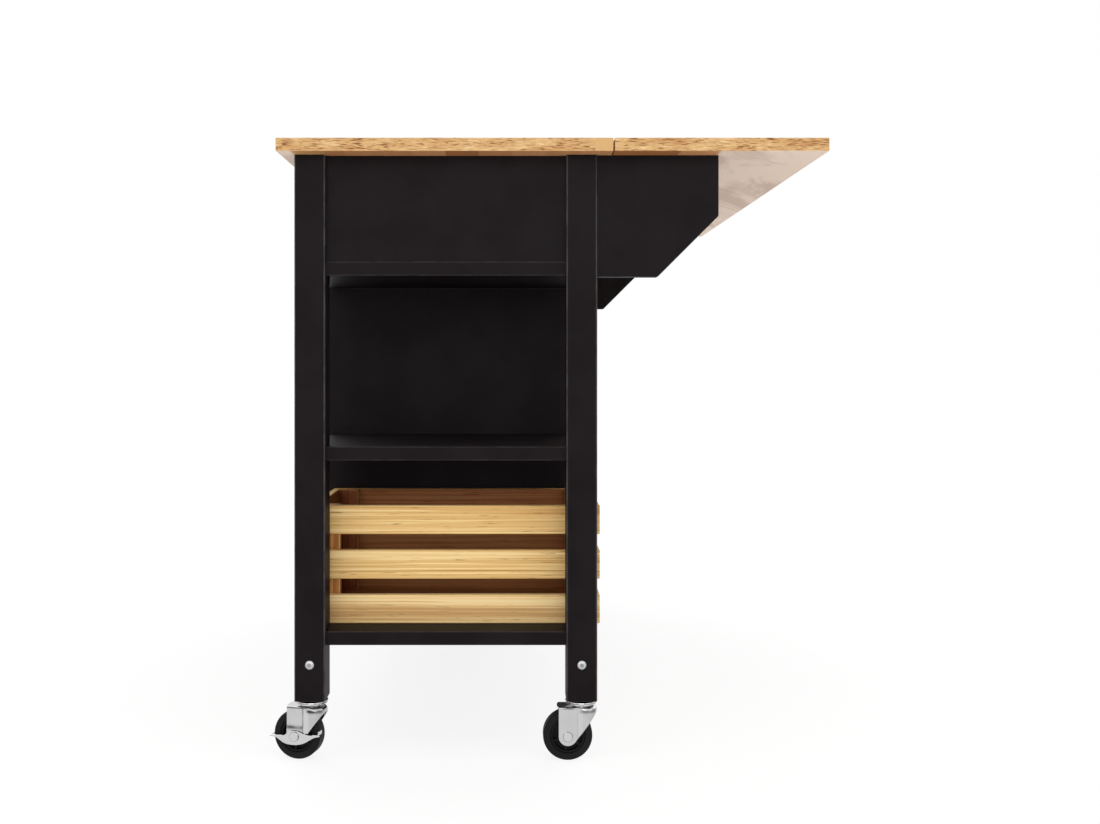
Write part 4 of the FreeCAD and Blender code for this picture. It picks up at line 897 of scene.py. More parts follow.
class ISLAND_OT_supports(PieceOperator, bpy.types.Operator):
    """Make the two boards that swing out under the leaf"""

    bl_idname = "island.supports"
    bl_label = "Leaf supports"

    def execute(self, context):
        edges = settings("edges")
        cut = edges.support_cut
        corners = np.array([edges.corner, edges.support_corner, edges.support_corner,
                            edges.corner, edges.corner])
        for side in ("near", "far"):
            low, high = size_of(f"{side}_support")
            outline = [(low[0], low[2]), (high[0] - cut, low[2]), (high[0], low[2] + cut),
                       (high[0], high[2]), (low[0], high[2])]
            surface = prism(outline, low[1], high[1], edges.board, "y", corners)
            painted(f"{side}_support", surface, f"{side}_leaf_support")
        return {"FINISHED"}


class ISLAND_OT_legs(PieceOperator, bpy.types.Operator):
    """Make the four square legs"""

    bl_idname = "island.legs"
    bl_label = "Legs"

    def execute(self, context):
        edges = settings("edges")
        for corner in CORNERS:
            leg = plank(*size_of(f"leg_{corner}"), "z", edges.board, edges.leg, steps=6)
            painted(f"leg_{corner}", leg)
        return {"FINISHED"}


def notched(node, wraps_far_legs):
    """The outline of a level board that is cut out round the legs, and its two levels."""
    low, high = size_of(node)
    leg_high, rear_low = size_of("leg_near_front")[1], size_of("leg_near_rear")[0]
    far_low = size_of("leg_far_front")[0]
    a, b = leg_high[0], rear_low[0]
    outline = [(a, leg_high[1]), (a, low[1]), (b, low[1]), (b, leg_high[1]), (high[0], leg_high[1])]
    if wraps_far_legs:
        outline += [(high[0], far_low[1]), (b, far_low[1]), (b, high[1]), (a, high[1]),
                    (a, far_low[1]), (low[0], far_low[1])]
    else:
        outline += [(high[0], high[1]), (low[0], high[1])]
    return outline + [(low[0], leg_high[1])], low[2], high[2]


class ISLAND_OT_level_boards(PieceOperator, bpy.types.Operator):
    """Make the drawer deck, the bay shelf, the bottom shelf and the cabinet shelf"""

    bl_idname = "island.level_boards"
    bl_label = "Level boards"

    def execute(self, context):
        edge = settings("edges").board
        for node, wraps in (("drawer_deck", True), ("bay_shelf", False), ("bottom_shelf", True)):
            outline, low, high = notched(node, wraps)
            painted(node, prism(outline, low, high, edge, "z"))
        painted("cabinet_shelf", plank(*size_of("cabinet_shelf"), "z", edge))
        return {"FINISHED"}


class ISLAND_OT_panels(PieceOperator, bpy.types.Operator):
    """Make the aprons, the panels, the divider, the runners' battens and the corner blocks"""

    bl_idname = "island.panels"
    bl_label = "Aprons and panels"

    def execute(self, context):
        edges = settings("edges")
        edge, block = edges.board, edges.block_depth
        for node, along in (("near_end_apron", "y"), ("far_end_apron", "y"), ("far_side_panel", "y"),
                            ("rear_apron", "x"), ("cabinet_back", "x"), ("drawer_divider", "y")):
            painted(node, plank(*size_of(node), along, edge))
        low, high = size_of("bay_partition")
        deck_low, deck_high = size_of("drawer_deck")
        lip, before, top = low[0] - edges.partition_lip, deck_low[0] - edge / 2, deck_high[2] - 2 * edge
        painted("bay_partition", prism([(lip, low[2]), (high[0], low[2]), (high[0], high[2]),
                                        (before, high[2]), (before, top), (lip, top)],
                                       low[1], high[1], edge, "y"))
        low, high = size_of("runner_battens")
        deep = size_of("leg_near_front")[1][1] - size_of("near_end_apron")[1][1]
        painted("runner_battens", merged(
            plank(low, (high[0], low[1] + deep, high[2]), "y", edge),
            plank((low[0], high[1] - deep, low[2]), high, "y", edge)))
        low, high = size_of("corner_blocks")
        blocks = []
        for corner in CORNERS:
            leg_low, leg_high = size_of(f"leg_{corner}")
            middle = (leg_low[0] + leg_high[0]) / 2
            wide = middle - low[0] if corner.endswith("front") else high[0] - middle
            y = (low[1], low[1] + block) if corner.startswith("near") else (high[1] - block, high[1])
            blocks.append(plank((middle - wide, y[0], low[2]), (middle + wide, y[1], high[2]), "z",
                                edge))
        painted("corner_blocks", merged(*blocks))
        return {"FINISHED"}


LONG_SLATS, END_SLATS, POSTS, BOTTOM, DRAWERS = 1, 11, 21, 31, 41  # first numbers of those boards


class ISLAND_OT_crate(PieceOperator, bpy.types.Operator):
    """Make the slatted crate: six long slats, six end slats, four posts and the bottom"""

    bl_idname = "island.crate"
    bl_label = "Slatted crate"

    def execute(self, context):
        edge, crate = settings("edges").slat, settings("crate")
        low, high = size_of("crate_long_slats")
        end_low, end_high = size_of("crate_end_slats")
        post_low, post_high = size_of("crate_posts")
        thick = end_low[1] - low[1]
        rows = low[2] + np.arange(3) * (crate.slat + crate.slat_gap)
        long_slats, end_slats, posts = [], [], []
        for number, z in enumerate(rows):
            top = z + crate.slat
            for side, y in enumerate((low[1], high[1] - thick)):
                long_slats.append(plank((low[0], y, z), (high[0], y + thick, top), "y", edge,
                                        board=LONG_SLATS + number + 3 * side))
            for side, x in enumerate((end_low[0], end_high[0] - thick)):
                end_slats.append(plank((x, end_low[1], z), (x + thick, end_high[1], top), "x", edge,
                                       board=END_SLATS + number + 3 * side))
        for x in (post_low[0], post_high[0] - crate.post_width):
            for y in (post_low[1], post_high[1] - crate.post_depth):
                posts.append(plank((x, y, post_low[2]),
                                   (x + crate.post_width, y + crate.post_depth, post_high[2]), "z",
                                   edge, board=POSTS + len(posts)))
        low, high = size_of("crate_bottom")
        inner = (post_low[0] + crate.post_width, post_low[1] + crate.post_depth)
        outer = (post_high[0] - crate.post_width, post_high[1] - crate.post_depth)
        bottom = prism([(low[0], inner[1]), inner, (inner[0], low[1]), (outer[0], low[1]),
                        (outer[0], inner[1]), (high[0], inner[1]), (high[0], outer[1]),
                        outer, (outer[0], high[1]), (inner[0], high[1]),
                        (inner[0], outer[1]), (low[0], outer[1])], low[2], high[2], edge / 2,
                       board=BOTTOM)
        for node, surface, mark in (("crate_long_slats", merged(*long_slats), None),
                                    ("crate_end_slats", merged(*end_slats), "crosswise"),
                                    ("crate_posts", merged(*posts), "upright"),
                                    ("crate_bottom", bottom, None)):
            if mark:
                surface["marks"][mark] = np.ones(len(surface["points"]))
            # The inside mark: painted shade on the faces that look into the crate.
            axis = {"crate_end_slats": 0, "crate_bottom": 2}.get(node, 1)
            middle = (low + high)[axis] / 2 if axis < 2 else high[2] + 1
            inward = surface["normals"][:, axis] * np.sign(middle - surface["points"][:, axis])
            surface["marks"]["inside"] = np.clip(inward, 0, 1)
            # Painted light on the lowest slats, against the shade of the dark shelf below them.
            surface["marks"]["pale"] = 1.0 * (surface["points"][:, 2] < rows[0] + crate.slat + edge)
            add_mesh(f"{node}_wood", surface, "pine_slats", "crate", [node])
        return {"FINISHED"}


# ---------------------------------------------------------------- doors and drawers


def knob(node, body):
    """A turned knob: stem, cone, rim and flat face, with its axis towards -x."""
    low, high = size_of(node)
    radius, reach = (high[2] - low[2]) / 2, high[0] - low[0]
    sizes = settings("drawers")
    path = rounded_path(
        [(0, 0), (sizes.knob_stem, 0), (sizes.knob_stem, sizes.knob_neck), (radius, sizes.knob_rim_low),
         (radius, sizes.knob_rim_high), (sizes.knob_face, reach), (0, reach)],
        [0, 0.0004, 0.003, 0.0015, 0.002, 0.002, 0], 6, closed=False)
    middle = (high[0], (low[1] + high[1]) / 2, (low[2] + high[2]) / 2)
    add_mesh(f"{node}_turned", placed(turned(path), (0, 1, 0), (0, 0, -1), middle), "nickel", body,
             [node])


class ISLAND_OT_doors(PieceOperator, bpy.types.Operator):
    """Make the two doors and their knobs"""

    bl_idname = "island.doors"
    bl_label = "Doors"

    def execute(self, context):
        for side in ("near", "far"):
            body = f"{side}_cabinet_door"
            board = plank(*size_of(f"{side}_door"), "x", settings("edges").front)
            painted(f"{side}_door", board, body)
            knob(f"{side}_door_knob", body)
        return {"FINISHED"}


class ISLAND_OT_drawers(PieceOperator, bpy.types.Operator):
    """Make the two drawers, their knobs and their runner bars"""

    bl_idname = "island.drawers"
    bl_label = "Drawers"

    def execute(self, context):
        edges, sizes = settings("edges"), settings("drawers")
        for number, side in enumerate(("near", "far")):
            body = f"{side}_drawer"
            painted(f"{side}_drawer_front",
                    plank(*size_of(f"{side}_drawer_front"), "x", edges.front), body)
            knob(f"{side}_drawer_knob", body)
            low, high = size_of(f"{side}_drawer_box")
            wall, floor = sizes.side, sizes.bottom
            board = DRAWERS + 5 * number
            sides = [plank((low[0], y, low[2]), (high[0], y + wall, high[2]), "y", edges.board,
                           board=board + k) for k, y in enumerate((low[1], high[1] - wall))]
            bottom = plank((low[0], low[1] + wall, low[2] + wall),
                           (high[0] - wall, high[1] - wall, low[2] + wall + floor), "z", edges.board,
                           board=board + 2)
            back = plank((high[0] - wall, low[1] + wall, low[2]),
                         (high[0], high[1] - wall, high[2]), "x", edges.board, board=board + 3)
            back["marks"]["crosswise"] = np.ones(len(back["points"]))
            add_mesh(f"{side}_drawer_box_wood", merged(*sides, bottom, back), "pine_slats", body,
                     [f"{side}_drawer_box"])
            low, high = size_of(f"{side}_drawer_runner_bars")
            bars = [remarked(plank((low[0], y, low[2]), (high[0], y + sizes.bar, high[2]), "x",
                                   edges.metal * 3)) for y in (low[1], high[1] - sizes.bar)]
            add_mesh(f"{side}_drawer_bars", merged(*bars), "bright_steel", body,
                     [f"{side}_drawer_runner_bars"])
        return {"FINISHED"}


class ISLAND_OT_runners(PieceOperator, bpy.types.Operator):
    """Make the four channels that the drawers' bars run in"""

    bl_idname = "island.runners"
    bl_label = "Drawer runners"

    def execute(self, context):
        edge, sizes = settings("edges").metal, settings("drawers")
        low, high = size_of("drawer_runner_channels")
        divider_low, divider_high = size_of("drawer_divider")
        wall, deep = sizes.channel_wall, sizes.channel
        channels = []
        for face, side in ((low[1], 1), (divider_low[1], -1), (divider_high[1], 1), (high[1], -1)):
            outline = [(face, low[2]), (face + side * deep, low[2]), (face + side * deep, low[2] + wall),
                       (face + side * wall, low[2] + wall), (face + side * wall, high[2] - wall),
                       (face + side * deep, high[2] - wall), (face + side * deep, high[2]),
                       (face, high[2])][::side]
            channels.append(remarked(prism(outline, low[0], high[0], edge, "x")))
        add_mesh("runner_channels", merged(*channels), "bright_steel", "frame",
                 ["drawer_runner_channels"])
        return {"FINISHED"}


# ---------------------------------------------------------------- hinges and bolts


RIGHT, LEFT, AWAY, BACK, DOWN = (1, 0, 0), (-1, 0, 0), (0, 1, 0), (0, -1, 0), (0, 0, -1)


def hinge_half(moving):
    """Half a butt hinge in its own frame: the pin along z, the plate towards +x on the -y side.

    The fixed half has the two end knuckles, and the moving half the middle one.
    """
    sizes, metal = settings("hinges"), settings("edges").metal
    half, barrel = sizes.plate_length / 2, sizes.barrel
    face = -barrel + sizes.plate_thickness
    corners = box_outline((sizes.plate_clear, sizes.plate_width), (-half, half))
    parts = [prism(corners, -barrel, face, metal, "y", [metal, 0.0025, 0.0025, metal])]
    third = sizes.plate_length / 3
    reach = third / 2 - sizes.knuckle_gap
    spans = [(-reach, reach)] if moving else [(-half, third - half), (half - third, half)]
    for low, high in spans:
        leaf = plank((0, -barrel, low), (sizes.plate_clear + metal * 2, face, high), "y", metal / 2)
        parts.append(leaf)
        path = rounded_path([(0, low), (barrel, low), (barrel, high), (0, high)],
                            [0, metal, metal, 0], 4, closed=False)
        parts.append(turned(path, 24))
    across = (sizes.plate_clear + sizes.plate_width) / 2
    head = rounded_path([(0, -0.0004), (sizes.screw, -0.0004), (sizes.screw, 0.0004),
                         (sizes.screw * 0.6, 0.0006), (0, 0.0006)], [0, 0.0001, 0.0003, 0.0004, 0],
                        3, closed=False)
    for row in (-1, 0, 1):
        parts.append(placed(turned(head, 24), RIGHT, DOWN, (across, face, row * sizes.screw_pitch)))
    return remarked(merged(*parts))


class ISLAND_OT_hinges(PieceOperator, bpy.types.Operator):
    """Make the hinges of the leaf, the supports and the doors"""

    bl_idname = "island.hinges"
    bl_label = "Hinges"

    def execute(self, context):
        sizes = settings("hinges")
        barrel, half = sizes.barrel, sizes.plate_length / 2
        low, high = size_of("leaf_hinge_plates")
        ends = (low[1] + half, high[1] - half)
        groups = [("leaf", "leaf", (LEFT, DOWN), (RIGHT, DOWN),
                   [(low[0] + barrel, y, high[2] - barrel) for y in (ends[0], sum(ends) / 2, ends[1])])]
        for name, body, inner, fixed_to, moving_to in (
                ("near_support", "near_leaf_support", 1, (AWAY, RIGHT), (RIGHT, AWAY)),
                ("far_support", "far_leaf_support", 0, (BACK, RIGHT), (RIGHT, BACK)),
                ("near_door", "near_cabinet_door", 0, (RIGHT, AWAY), (RIGHT, BACK)),
                ("far_door", "far_cabinet_door", 1, (RIGHT, BACK), (RIGHT, AWAY))):
            low, high = box = size_of(f"{name}_hinge_plates")
            y = box[inner][1] + (-barrel if inner else barrel)
            pins = [(low[0] + barrel, y, z) for z in (low[2] + half, high[2] - half)]
            groups.append((name, body, fixed_to, moving_to, pins))
        fixed = []
        for name, body, fixed_to, moving_to, pins in groups:
            fixed += [placed(hinge_half(False), *fixed_to, pin) for pin in pins]
            moving = merged(*(placed(hinge_half(True), *moving_to, pin) for pin in pins))
            add_mesh(f"{name}_hinges_moving", moving, "bright_steel", body, [f"{name}_hinge_plates"])
        add_mesh("hinges_fixed", merged(*fixed), "bright_steel", "frame", ["hinge_fixed_plates"])
        return {"FINISHED"}


def button_bolt():
    """A button-head bolt along z, its head up: shank, domed head and a hexagon socket."""
    sizes = settings("hinges")
    depth, floor = sizes.bolt_head_depth, sizes.bolt_head_depth * 0.2
    outer = rounded_path([(0, -sizes.bolt_length), (sizes.bolt_shank, -sizes.bolt_length),
                          (sizes.bolt_shank, 0), (sizes.bolt_head, 0), (sizes.bolt_head, depth * 0.4),
                          (sizes.bolt_head * 0.7, depth), (sizes.bolt_socket * 0.62, depth)],
                         [0, 0.0005, 0.0001, 0.0002, 0.0008, 0.003, 0], 5, closed=False)
    flat = sizes.bolt_socket / 2
    hexed = np.array([(flat, depth), (flat, floor), (0, floor)])
    path = (np.concatenate([outer[0], hexed]), np.concatenate([outer[1], np.ones((3, 2))]))
    six_sided = np.r_[np.zeros(len(outer[0])), 1, 1, 0]
    bolt = turned(path, 48, six_sided)
    # Painted shade: the socket's walls and floor are marked darker.
    reach = np.linalg.norm(bolt["points"][:, :2], axis=1)
    return remarked(bolt, edge=0.5 * ((reach < flat * 1.2) & (bolt["points"][:, 2] < depth * 0.9)))


class ISLAND_OT_bolts(PieceOperator, bpy.types.Operator):
    """Make the bolts through the legs"""

    bl_idname = "island.bolts"
    bl_label = "Leg bolts"

    def execute(self, context):
        z = size_of("leg_bolts")[0][2] + settings("hinges").bolt_head
        bolts = []
        for corner in CORNERS:
            leg_low, leg_high = size_of(f"leg_{corner}")
            x = (leg_low[0] + leg_high[0]) / 2
            near = corner.startswith("near")
            y = leg_low[1] if near else leg_high[1]
            bolts.append(placed(button_bolt(), RIGHT if near else LEFT, (0, 0, 1), (x, y, z)))
        add_mesh("leg_bolts_steel", merged(*bolts), "bright_steel", "frame", ["leg_bolts"], sharp=32)
        return {"FINISHED"}


# ---------------------------------------------------------------- casters

# A caster in its own frame: the swivel axis is z, the floor is z = 0 and the wheel trails
# towards -x. A wheel, an axle and a lever in their own frame have the axle along z, and the side
# that the lever is on looks towards +z.


def caster_place(corner):
    """The swivel axis, the turn and the wheel's centre of a caster."""
    low, high = size_of(f"leg_{corner}")
    tyre_low, tyre_high = size_of(f"caster_tyre_{corner}")
    sizes = settings("casters")
    yaw = getattr(sizes, f"yaw_{corner}")
    x, y = (low + high)[:2] / 2
    radius = (tyre_high[2] - tyre_low[2]) / 2
    hub = (x - sizes.trail * math.cos(yaw), y - sizes.trail * math.sin(yaw), radius)
    return (x, y, 0), yaw, hub, radius


def on_axle(surface, yaw, hub):
    """A surface made round its own z axis, brought onto a wheel's axle."""
    return swung(placed(surface, (1, 0, 0), (0, 0, 1)), yaw, hub)


def fork_line(sizes):
    """The fork seen from above, from one side's rear edge round the nose to the other's.

    Two straight sides meet the arc |p - (lead, 0)| = nose in a crease; the curve is sampled evenly
    by its length and convolved with a bell of 1.2 mm, which softens the crease. Returns a function
    from lengths along the curve to points and outward normals, and the curve's length.
    """
    rear, half = -sizes.trail - sizes.boss, sizes.half_width
    behind = math.sqrt(sizes.nose ** 2 - half ** 2)
    a = np.linspace(-math.atan2(half, -behind), math.atan2(half, -behind), 200)
    arc = np.stack([sizes.nose_lead + sizes.nose * np.cos(a), sizes.nose * np.sin(a)], -1)
    corners = np.concatenate([[(rear, -half)], arc, [(rear, half)]])
    run = np.r_[0, np.cumsum(np.linalg.norm(np.diff(corners, axis=0), axis=1))]
    step = 0.0002
    s = np.arange(0, run[-1], step)
    even = np.stack([np.interp(s, run, corners[:, k]) for k in range(2)], -1)
    reach = 18
    ahead = np.arange(1, reach + 1)[:, None]
    padded = np.concatenate([(even[0] + (even[0] - even[1]) * ahead)[::-1], even,
                             even[-1] + (even[-1] - even[-2]) * ahead])
    bell = np.exp(-0.5 * (np.arange(-reach, reach + 1) / 6.0) ** 2)
    smooth = np.stack([np.convolve(padded[:, k], bell / bell.sum(), "valid") for k in range(2)], -1)
    tangent = unit(np.gradient(smooth, axis=0))

    def at(lengths):
        point = np.stack([np.interp(lengths, s, smooth[:, k]) for k in range(2)], -1)
        toward = unit(np.stack([np.interp(lengths, s, tangent[:, k]) for k in range(2)], -1))
        return point, np.stack([toward[:, 1], -toward[:, 0]], -1)

    return at, s[-1]


def fork_sheet(sizes, axle_height, braked):
    """The outer face of a pressed fork: its walls, its shoulder and its crown as one sheet.

    Column u follows the outline seen from above. The wall's row v lies at z = low(x) + v (high - low),
    where low(x) is the boss's circle, then the slanting line tangent to it. The shoulder's rows are
    a quarter circle whose radius grows from the sides to the nose. The crown's rows shrink the
    outline, closed behind by a bowed tail, to the pivot's hole: p = (1 - t) outline + t hole.
    """
    at, total = fork_line(sizes)
    around_boss = 2.3  # the boss's circle is sampled by angle up to here, in radians
    rear = sizes.boss * (1 - np.cos(np.linspace(0, around_boss, 18)))
    lengths = np.concatenate([rear[:-1], np.linspace(rear[-1], total - rear[-1], 84),
                              (total - rear[:-1])[::-1]])
    plan, outward = at(lengths)
    x = plan[:, 0]
    to_corner = np.array([sizes.front + sizes.trail, sizes.shoulder - axle_height])
    reach = np.linalg.norm(to_corner)
    touch = math.atan2(to_corner[1], to_corner[0]) - math.acos(sizes.boss / reach)
    touch_x = -sizes.trail + sizes.boss * math.cos(touch)
    touch_z = axle_height + sizes.boss * math.sin(touch)
    dip = np.sqrt(np.clip(sizes.boss ** 2 - (x + sizes.trail) ** 2, 0, None))
    slope = (sizes.shoulder - touch_z) / (sizes.front - touch_x)
    low = np.where(x < touch_x, axle_height - dip, touch_z + (x - touch_x) * slope)
    bend = sizes.side_round + (sizes.nose_round - sizes.side_round) * smooth_step(-0.002, 0.012, x)
    v = np.linspace(0, 1, 46)[:, None]
    wall_z = low + v * (sizes.crown - bend - low)
    wall = np.broadcast_to(plan, (len(v), *plan.shape)).copy()
    if braked:
        step = (1 - smooth_step(sizes.joggle_low, sizes.joggle_high, wall_z)) * (plan[:, 1] < 0)
        wall -= (step * sizes.joggle * smooth_step(-0.001, -0.006, x))[..., None] * [0, 1]
    t = np.linspace(0, math.pi / 2, 8)[1:, None]
    shoulder = plan - (bend * (1 - np.cos(t)))[..., None] * outward
    shoulder_z = sizes.crown - bend * (1 - np.sin(t))
    rows = np.concatenate([np.concatenate([wall, shoulder]),
                           np.concatenate([wall_z, shoulder_z])[..., None]], -1)
    high, columns = len(rows), len(x)
    first, last = rows[-1, 0], rows[-1, -1]
    y = np.linspace(last[1], first[1], 18)[1:-1]
    bow = 1 - np.abs(y / last[1]) ** 2.4
    tail = np.stack([last[0] - sizes.tail * bow, y, np.full(len(y), sizes.crown)], -1)
    rim = np.concatenate([rows[-1], tail])
    hole = unit(rim[:, :2]) * sizes.pivot * 1.01
    inner = [np.concatenate([(1 - s) * rim[:, :2] + s * hole, rim[:, 2:]], -1)
             for s in np.linspace(0, 1, 7)[1:]]
    points = np.concatenate([rows.reshape(-1, 3), tail, *inner])
    faces = grid_faces(high, columns)
    around = len(rim)
    rings = [np.r_[np.arange(columns) + (high - 1) * columns, np.arange(len(tail)) + high * columns]]
    rings += [np.arange(around) + high * columns + len(tail) + k * around for k in range(len(inner))]
    for ring, ahead in zip(rings, rings[1:]):
        faces += np.stack([ring, np.roll(ring, -1), np.roll(ahead, -1), ahead], -1).tolist()
    # The edge mark carries fork_bands: painted dark reflections on the chrome.
    band = np.zeros(len(points))
    band[:high * columns] = fork_bands(sizes, rows[..., 2], x, braked).ravel()
    return shape(points, np.zeros_like(points), faces, edge=band)


def fork_bands(sizes, z, x, braked):
    """How much each point of the fork's wall and shoulder mirrors the dark frame, from 0 to 1.

    Each band is a bell exp(-((u - middle) / width)^2): a line below the shoulder's highlight, a
    crescent under the nose's rounding, the upright crease, and the step of a braked fork.
    """
    def bell(u, middle, width):
        return np.exp(-((u - middle) / width) ** 2)

    nose = smooth_step(-0.005, 0.002, x)
    line = (1 - nose) * bell(z, sizes.crown - sizes.side_round * 0.75, 0.0008)
    crescent = nose * bell(z, sizes.crown - 0.0052, 0.0022) * (1 - smooth_step(0.016, 0.022, x))
    crease_at = -0.0075 if braked else -0.0055
    crease = (0.8 if braked else 0.2) * bell(x, crease_at, 0.0008) * (z < sizes.crown - 0.002)
    side = 0.10 * (1 - smooth_step(crease_at - 0.001, crease_at + 0.001, x))
    far_nose = 0.18 * smooth_step(-0.0005, 0.004, x) + 0.12 * smooth_step(0.008, 0.020, x)
    step = bell(z, (sizes.joggle_low + sizes.joggle_high) / 2 - 0.0006, 0.0024) if braked else 0
    step = step * (1 - smooth_step(-0.0085, -0.0070, x))
    return np.clip(line + crescent + crease + side + far_nose + step, 0, 1)


def race_and_axle(sizes, axle_height, braked):
    """The ball race on the crown, and the axle with its two heads."""
    crown, top, wide = sizes.crown - 0.0005, sizes.race_top, sizes.race
    third = (top - sizes.crown) / 3
    race = rounded_path([(sizes.pivot * 1.01, crown), (wide, crown), (wide, sizes.crown + third * 0.8),
                         (wide - 0.0012, sizes.crown + third * 1.2),
                         (wide - 0.0012, sizes.crown + third * 1.8),
                         (wide, sizes.crown + third * 2.2), (wide, top), (sizes.pivot * 1.01, top)],
                        0.0003, 3)
    far, depth, head = -sizes.axle_end, sizes.axle_head_depth, sizes.axle_head
    near = sizes.lever_face + 0.0003 if braked else sizes.axle_end
    axle = rounded_path([(0, far - depth), (head, far - depth), (head, far), (sizes.axle, far),
                         (sizes.axle, near), (head, near), (head, near + depth), (0, near + depth)],
                        [0, 0.0011, 0.0002, 0.0001, 0.0001, 0.0002, 0.0011, 0], 5, closed=False)
    race, axle = turned(race, 72, closed=True), turned(axle, 56)
    # Painted shade: the whole race is marked dark, as it sits in the gap below the cup; a painted dark
    # reflection rings each axle head's rim.
    rim = np.linalg.norm(axle["points"][:, :2], axis=1) > head - 0.0009
    return merged(remarked(race, edge=0.85),
                  placed(remarked(axle, edge=0.85 * rim), RIGHT, (0, 0, 1),
                         (-sizes.trail, 0, axle_height)))


class ISLAND_OT_forks(PieceOperator, bpy.types.Operator):
    """Make the pressed forks, their ball races and their axles"""

    bl_idname = "island.forks"
    bl_label = "Caster forks"

    def execute(self, context):
        sizes = settings("casters")
        for corner in CORNERS:
            foot, yaw, _, radius = caster_place(corner)
            node, body, braked = f"caster_fork_{corner}", f"swivel_{corner}", corner in BRAKED
            sheet = swung(fork_sheet(sizes, radius, braked), yaw, foot)
            add_mesh(f"fork_{corner}", sheet, "chrome", body, [node], sharp=50, sheet=sizes.wall)
            turned_parts = swung(race_and_axle(sizes, radius, braked), yaw, foot)
            add_mesh(f"race_axle_{corner}", turned_parts, "chrome", body, [node])
        return {"FINISHED"}


LEVER_OUTLINE = (  # in millimetres from the axle, anticlockwise from the right tip
    (37.1, 3.4), (28.0, 3.1), (22.0, 2.9), (16.5, 3.4), (11.0, 5.2), (5.5, 7.0), (0.0, 7.6),
    (-4.5, 7.2), (-8.3, 5.7), (-12.0, 3.0), (-16.0, 0.7), (-21.0, 0.0), (-29.0, -0.4),
    (-36.1, -0.6), (-36.1, -2.0), (-28.0, -2.8), (-21.5, -6.6), (-16.0, -9.7), (-9.0, -11.5),
    (-1.0, -11.8), (7.0, -10.9), (14.5, -8.6), (21.0, -5.0), (27.6, -0.9), (33.0, 1.2), (37.1, 1.9))
LEVER_PEDALS = (  # the line that each strip follows, and its two levels, in millimetres
    (((27.0, 3.1), (31.0, 3.2), (35.2, 3.5)), 13.2, 18.6),
    (((34.9, 3.5), (35.8, 4.0), (36.3, 6.0), (36.4, 9.2)), 8.0, 18.6),
    (((-34.3, -0.5), (-28.0, -0.3), (-18.0, 0.0)), 13.2, 18.6),
    (((-36.0, -0.6), (-34.0, -0.5)), 8.0, 18.6))


def lever_surface(sizes):
    """The brake lever: a leaf-shaped plate over the axle, with a flat pedal at each end."""
    edge = settings("edges").metal
    outline, outward = smooth_loop(np.array(LEVER_OUTLINE) * MM, 6)
    back = sizes.lever_face - sizes.lever_thickness
    plate = washer(outline, outward, sizes.axle * 1.03, back, sizes.lever_face, edge)
    thick = sizes.lever_thickness
    pedals = []
    for points, low, high in LEVER_PEDALS:
        line = np.array(points) * MM
        side = unit(np.gradient(line, axis=0))[:, ::-1] * [1, -1]
        strip = np.concatenate([line + side * thick / 2, (line - side * thick / 2)[::-1]])
        pedals.append(prism(strip, low * MM, high * MM, edge, "z"))
    return remarked(merged(plate, *pedals))


class ISLAND_OT_levers(PieceOperator, bpy.types.Operator):
    """Make the brake levers of the two braked casters"""

    bl_idname = "island.levers"
    bl_label = "Brake levers"

    def execute(self, context):
        for corner in BRAKED:
            _, yaw, hub, _ = caster_place(corner)
            add_mesh(f"lever_{corner}", on_axle(lever_surface(settings("casters")), yaw, hub), "chrome",
                     f"brake_{corner}", [f"brake_lever_{corner}"], sharp=40)
        return {"FINISHED"}


MOUNT_CUP = (  # radius and depth below the leg's foot, in millimetres, from the cup's rim upwards
    (20.6, 6.2), (21.9, 5.6), (21.1, 4.1), (22.4, 3.1), (22.1, 2.1), (17.5, 2.0), (15.0, 1.6),
    (14.0, 0.0))
MOUNT_ROUNDING = (0, 0.8, 0.3, 0.1, 0.1, 0.2, 0.4, 0.6, 0.3, 0.3, 0.5, 0.4, 0.1, 0.1, 0.5, 0)  # likewise


class ISLAND_OT_mounts(PieceOperator, bpy.types.Operator):
    """Make the casters' upper races, necks and stems

    A painted dark reflection exp(-(height + 4.2)^2), in millimetres, marks the cup's waist, and painted
    shade marks its rim and all below it.
    """

    bl_idname = "island.mounts"
    bl_label = "Caster mounts"

    def execute(self, context):
        low, high = size_of("caster_mounts")
        sizes = settings("casters")
        foot = size_of("leg_near_front")[0][2]
        pivot = sizes.pivot * 0.98
        head, head_top = sizes.pivot_head, low[2] + sizes.pivot_head_depth
        cup = [(radius * MM, foot - depth * MM) for radius, depth in MOUNT_CUP]
        path = rounded_path([(0, low[2]), (head, low[2]), (head, head_top), (pivot, head_top),
                             (pivot, cup[0][1]), *cup, (pivot, foot), (pivot, high[2]), (0, high[2])],
                            np.array(MOUNT_ROUNDING) * MM, 5, closed=False)
        mount = turned(path, 96)
        height = (mount["points"][:, 2] - foot) / MM
        waist = np.exp(-(height + 4.2) ** 2)
        mount = remarked(mount, edge=np.clip(0.95 * waist + 0.9 * (height < -6.1), 0, 1))
        mounts = [placed(mount, at=caster_place(corner)[0]) for corner in CORNERS]
        add_mesh("caster_mounts_turned", merged(*mounts), "chrome", "frame", ["caster_mounts"])
        return {"FINISHED"}


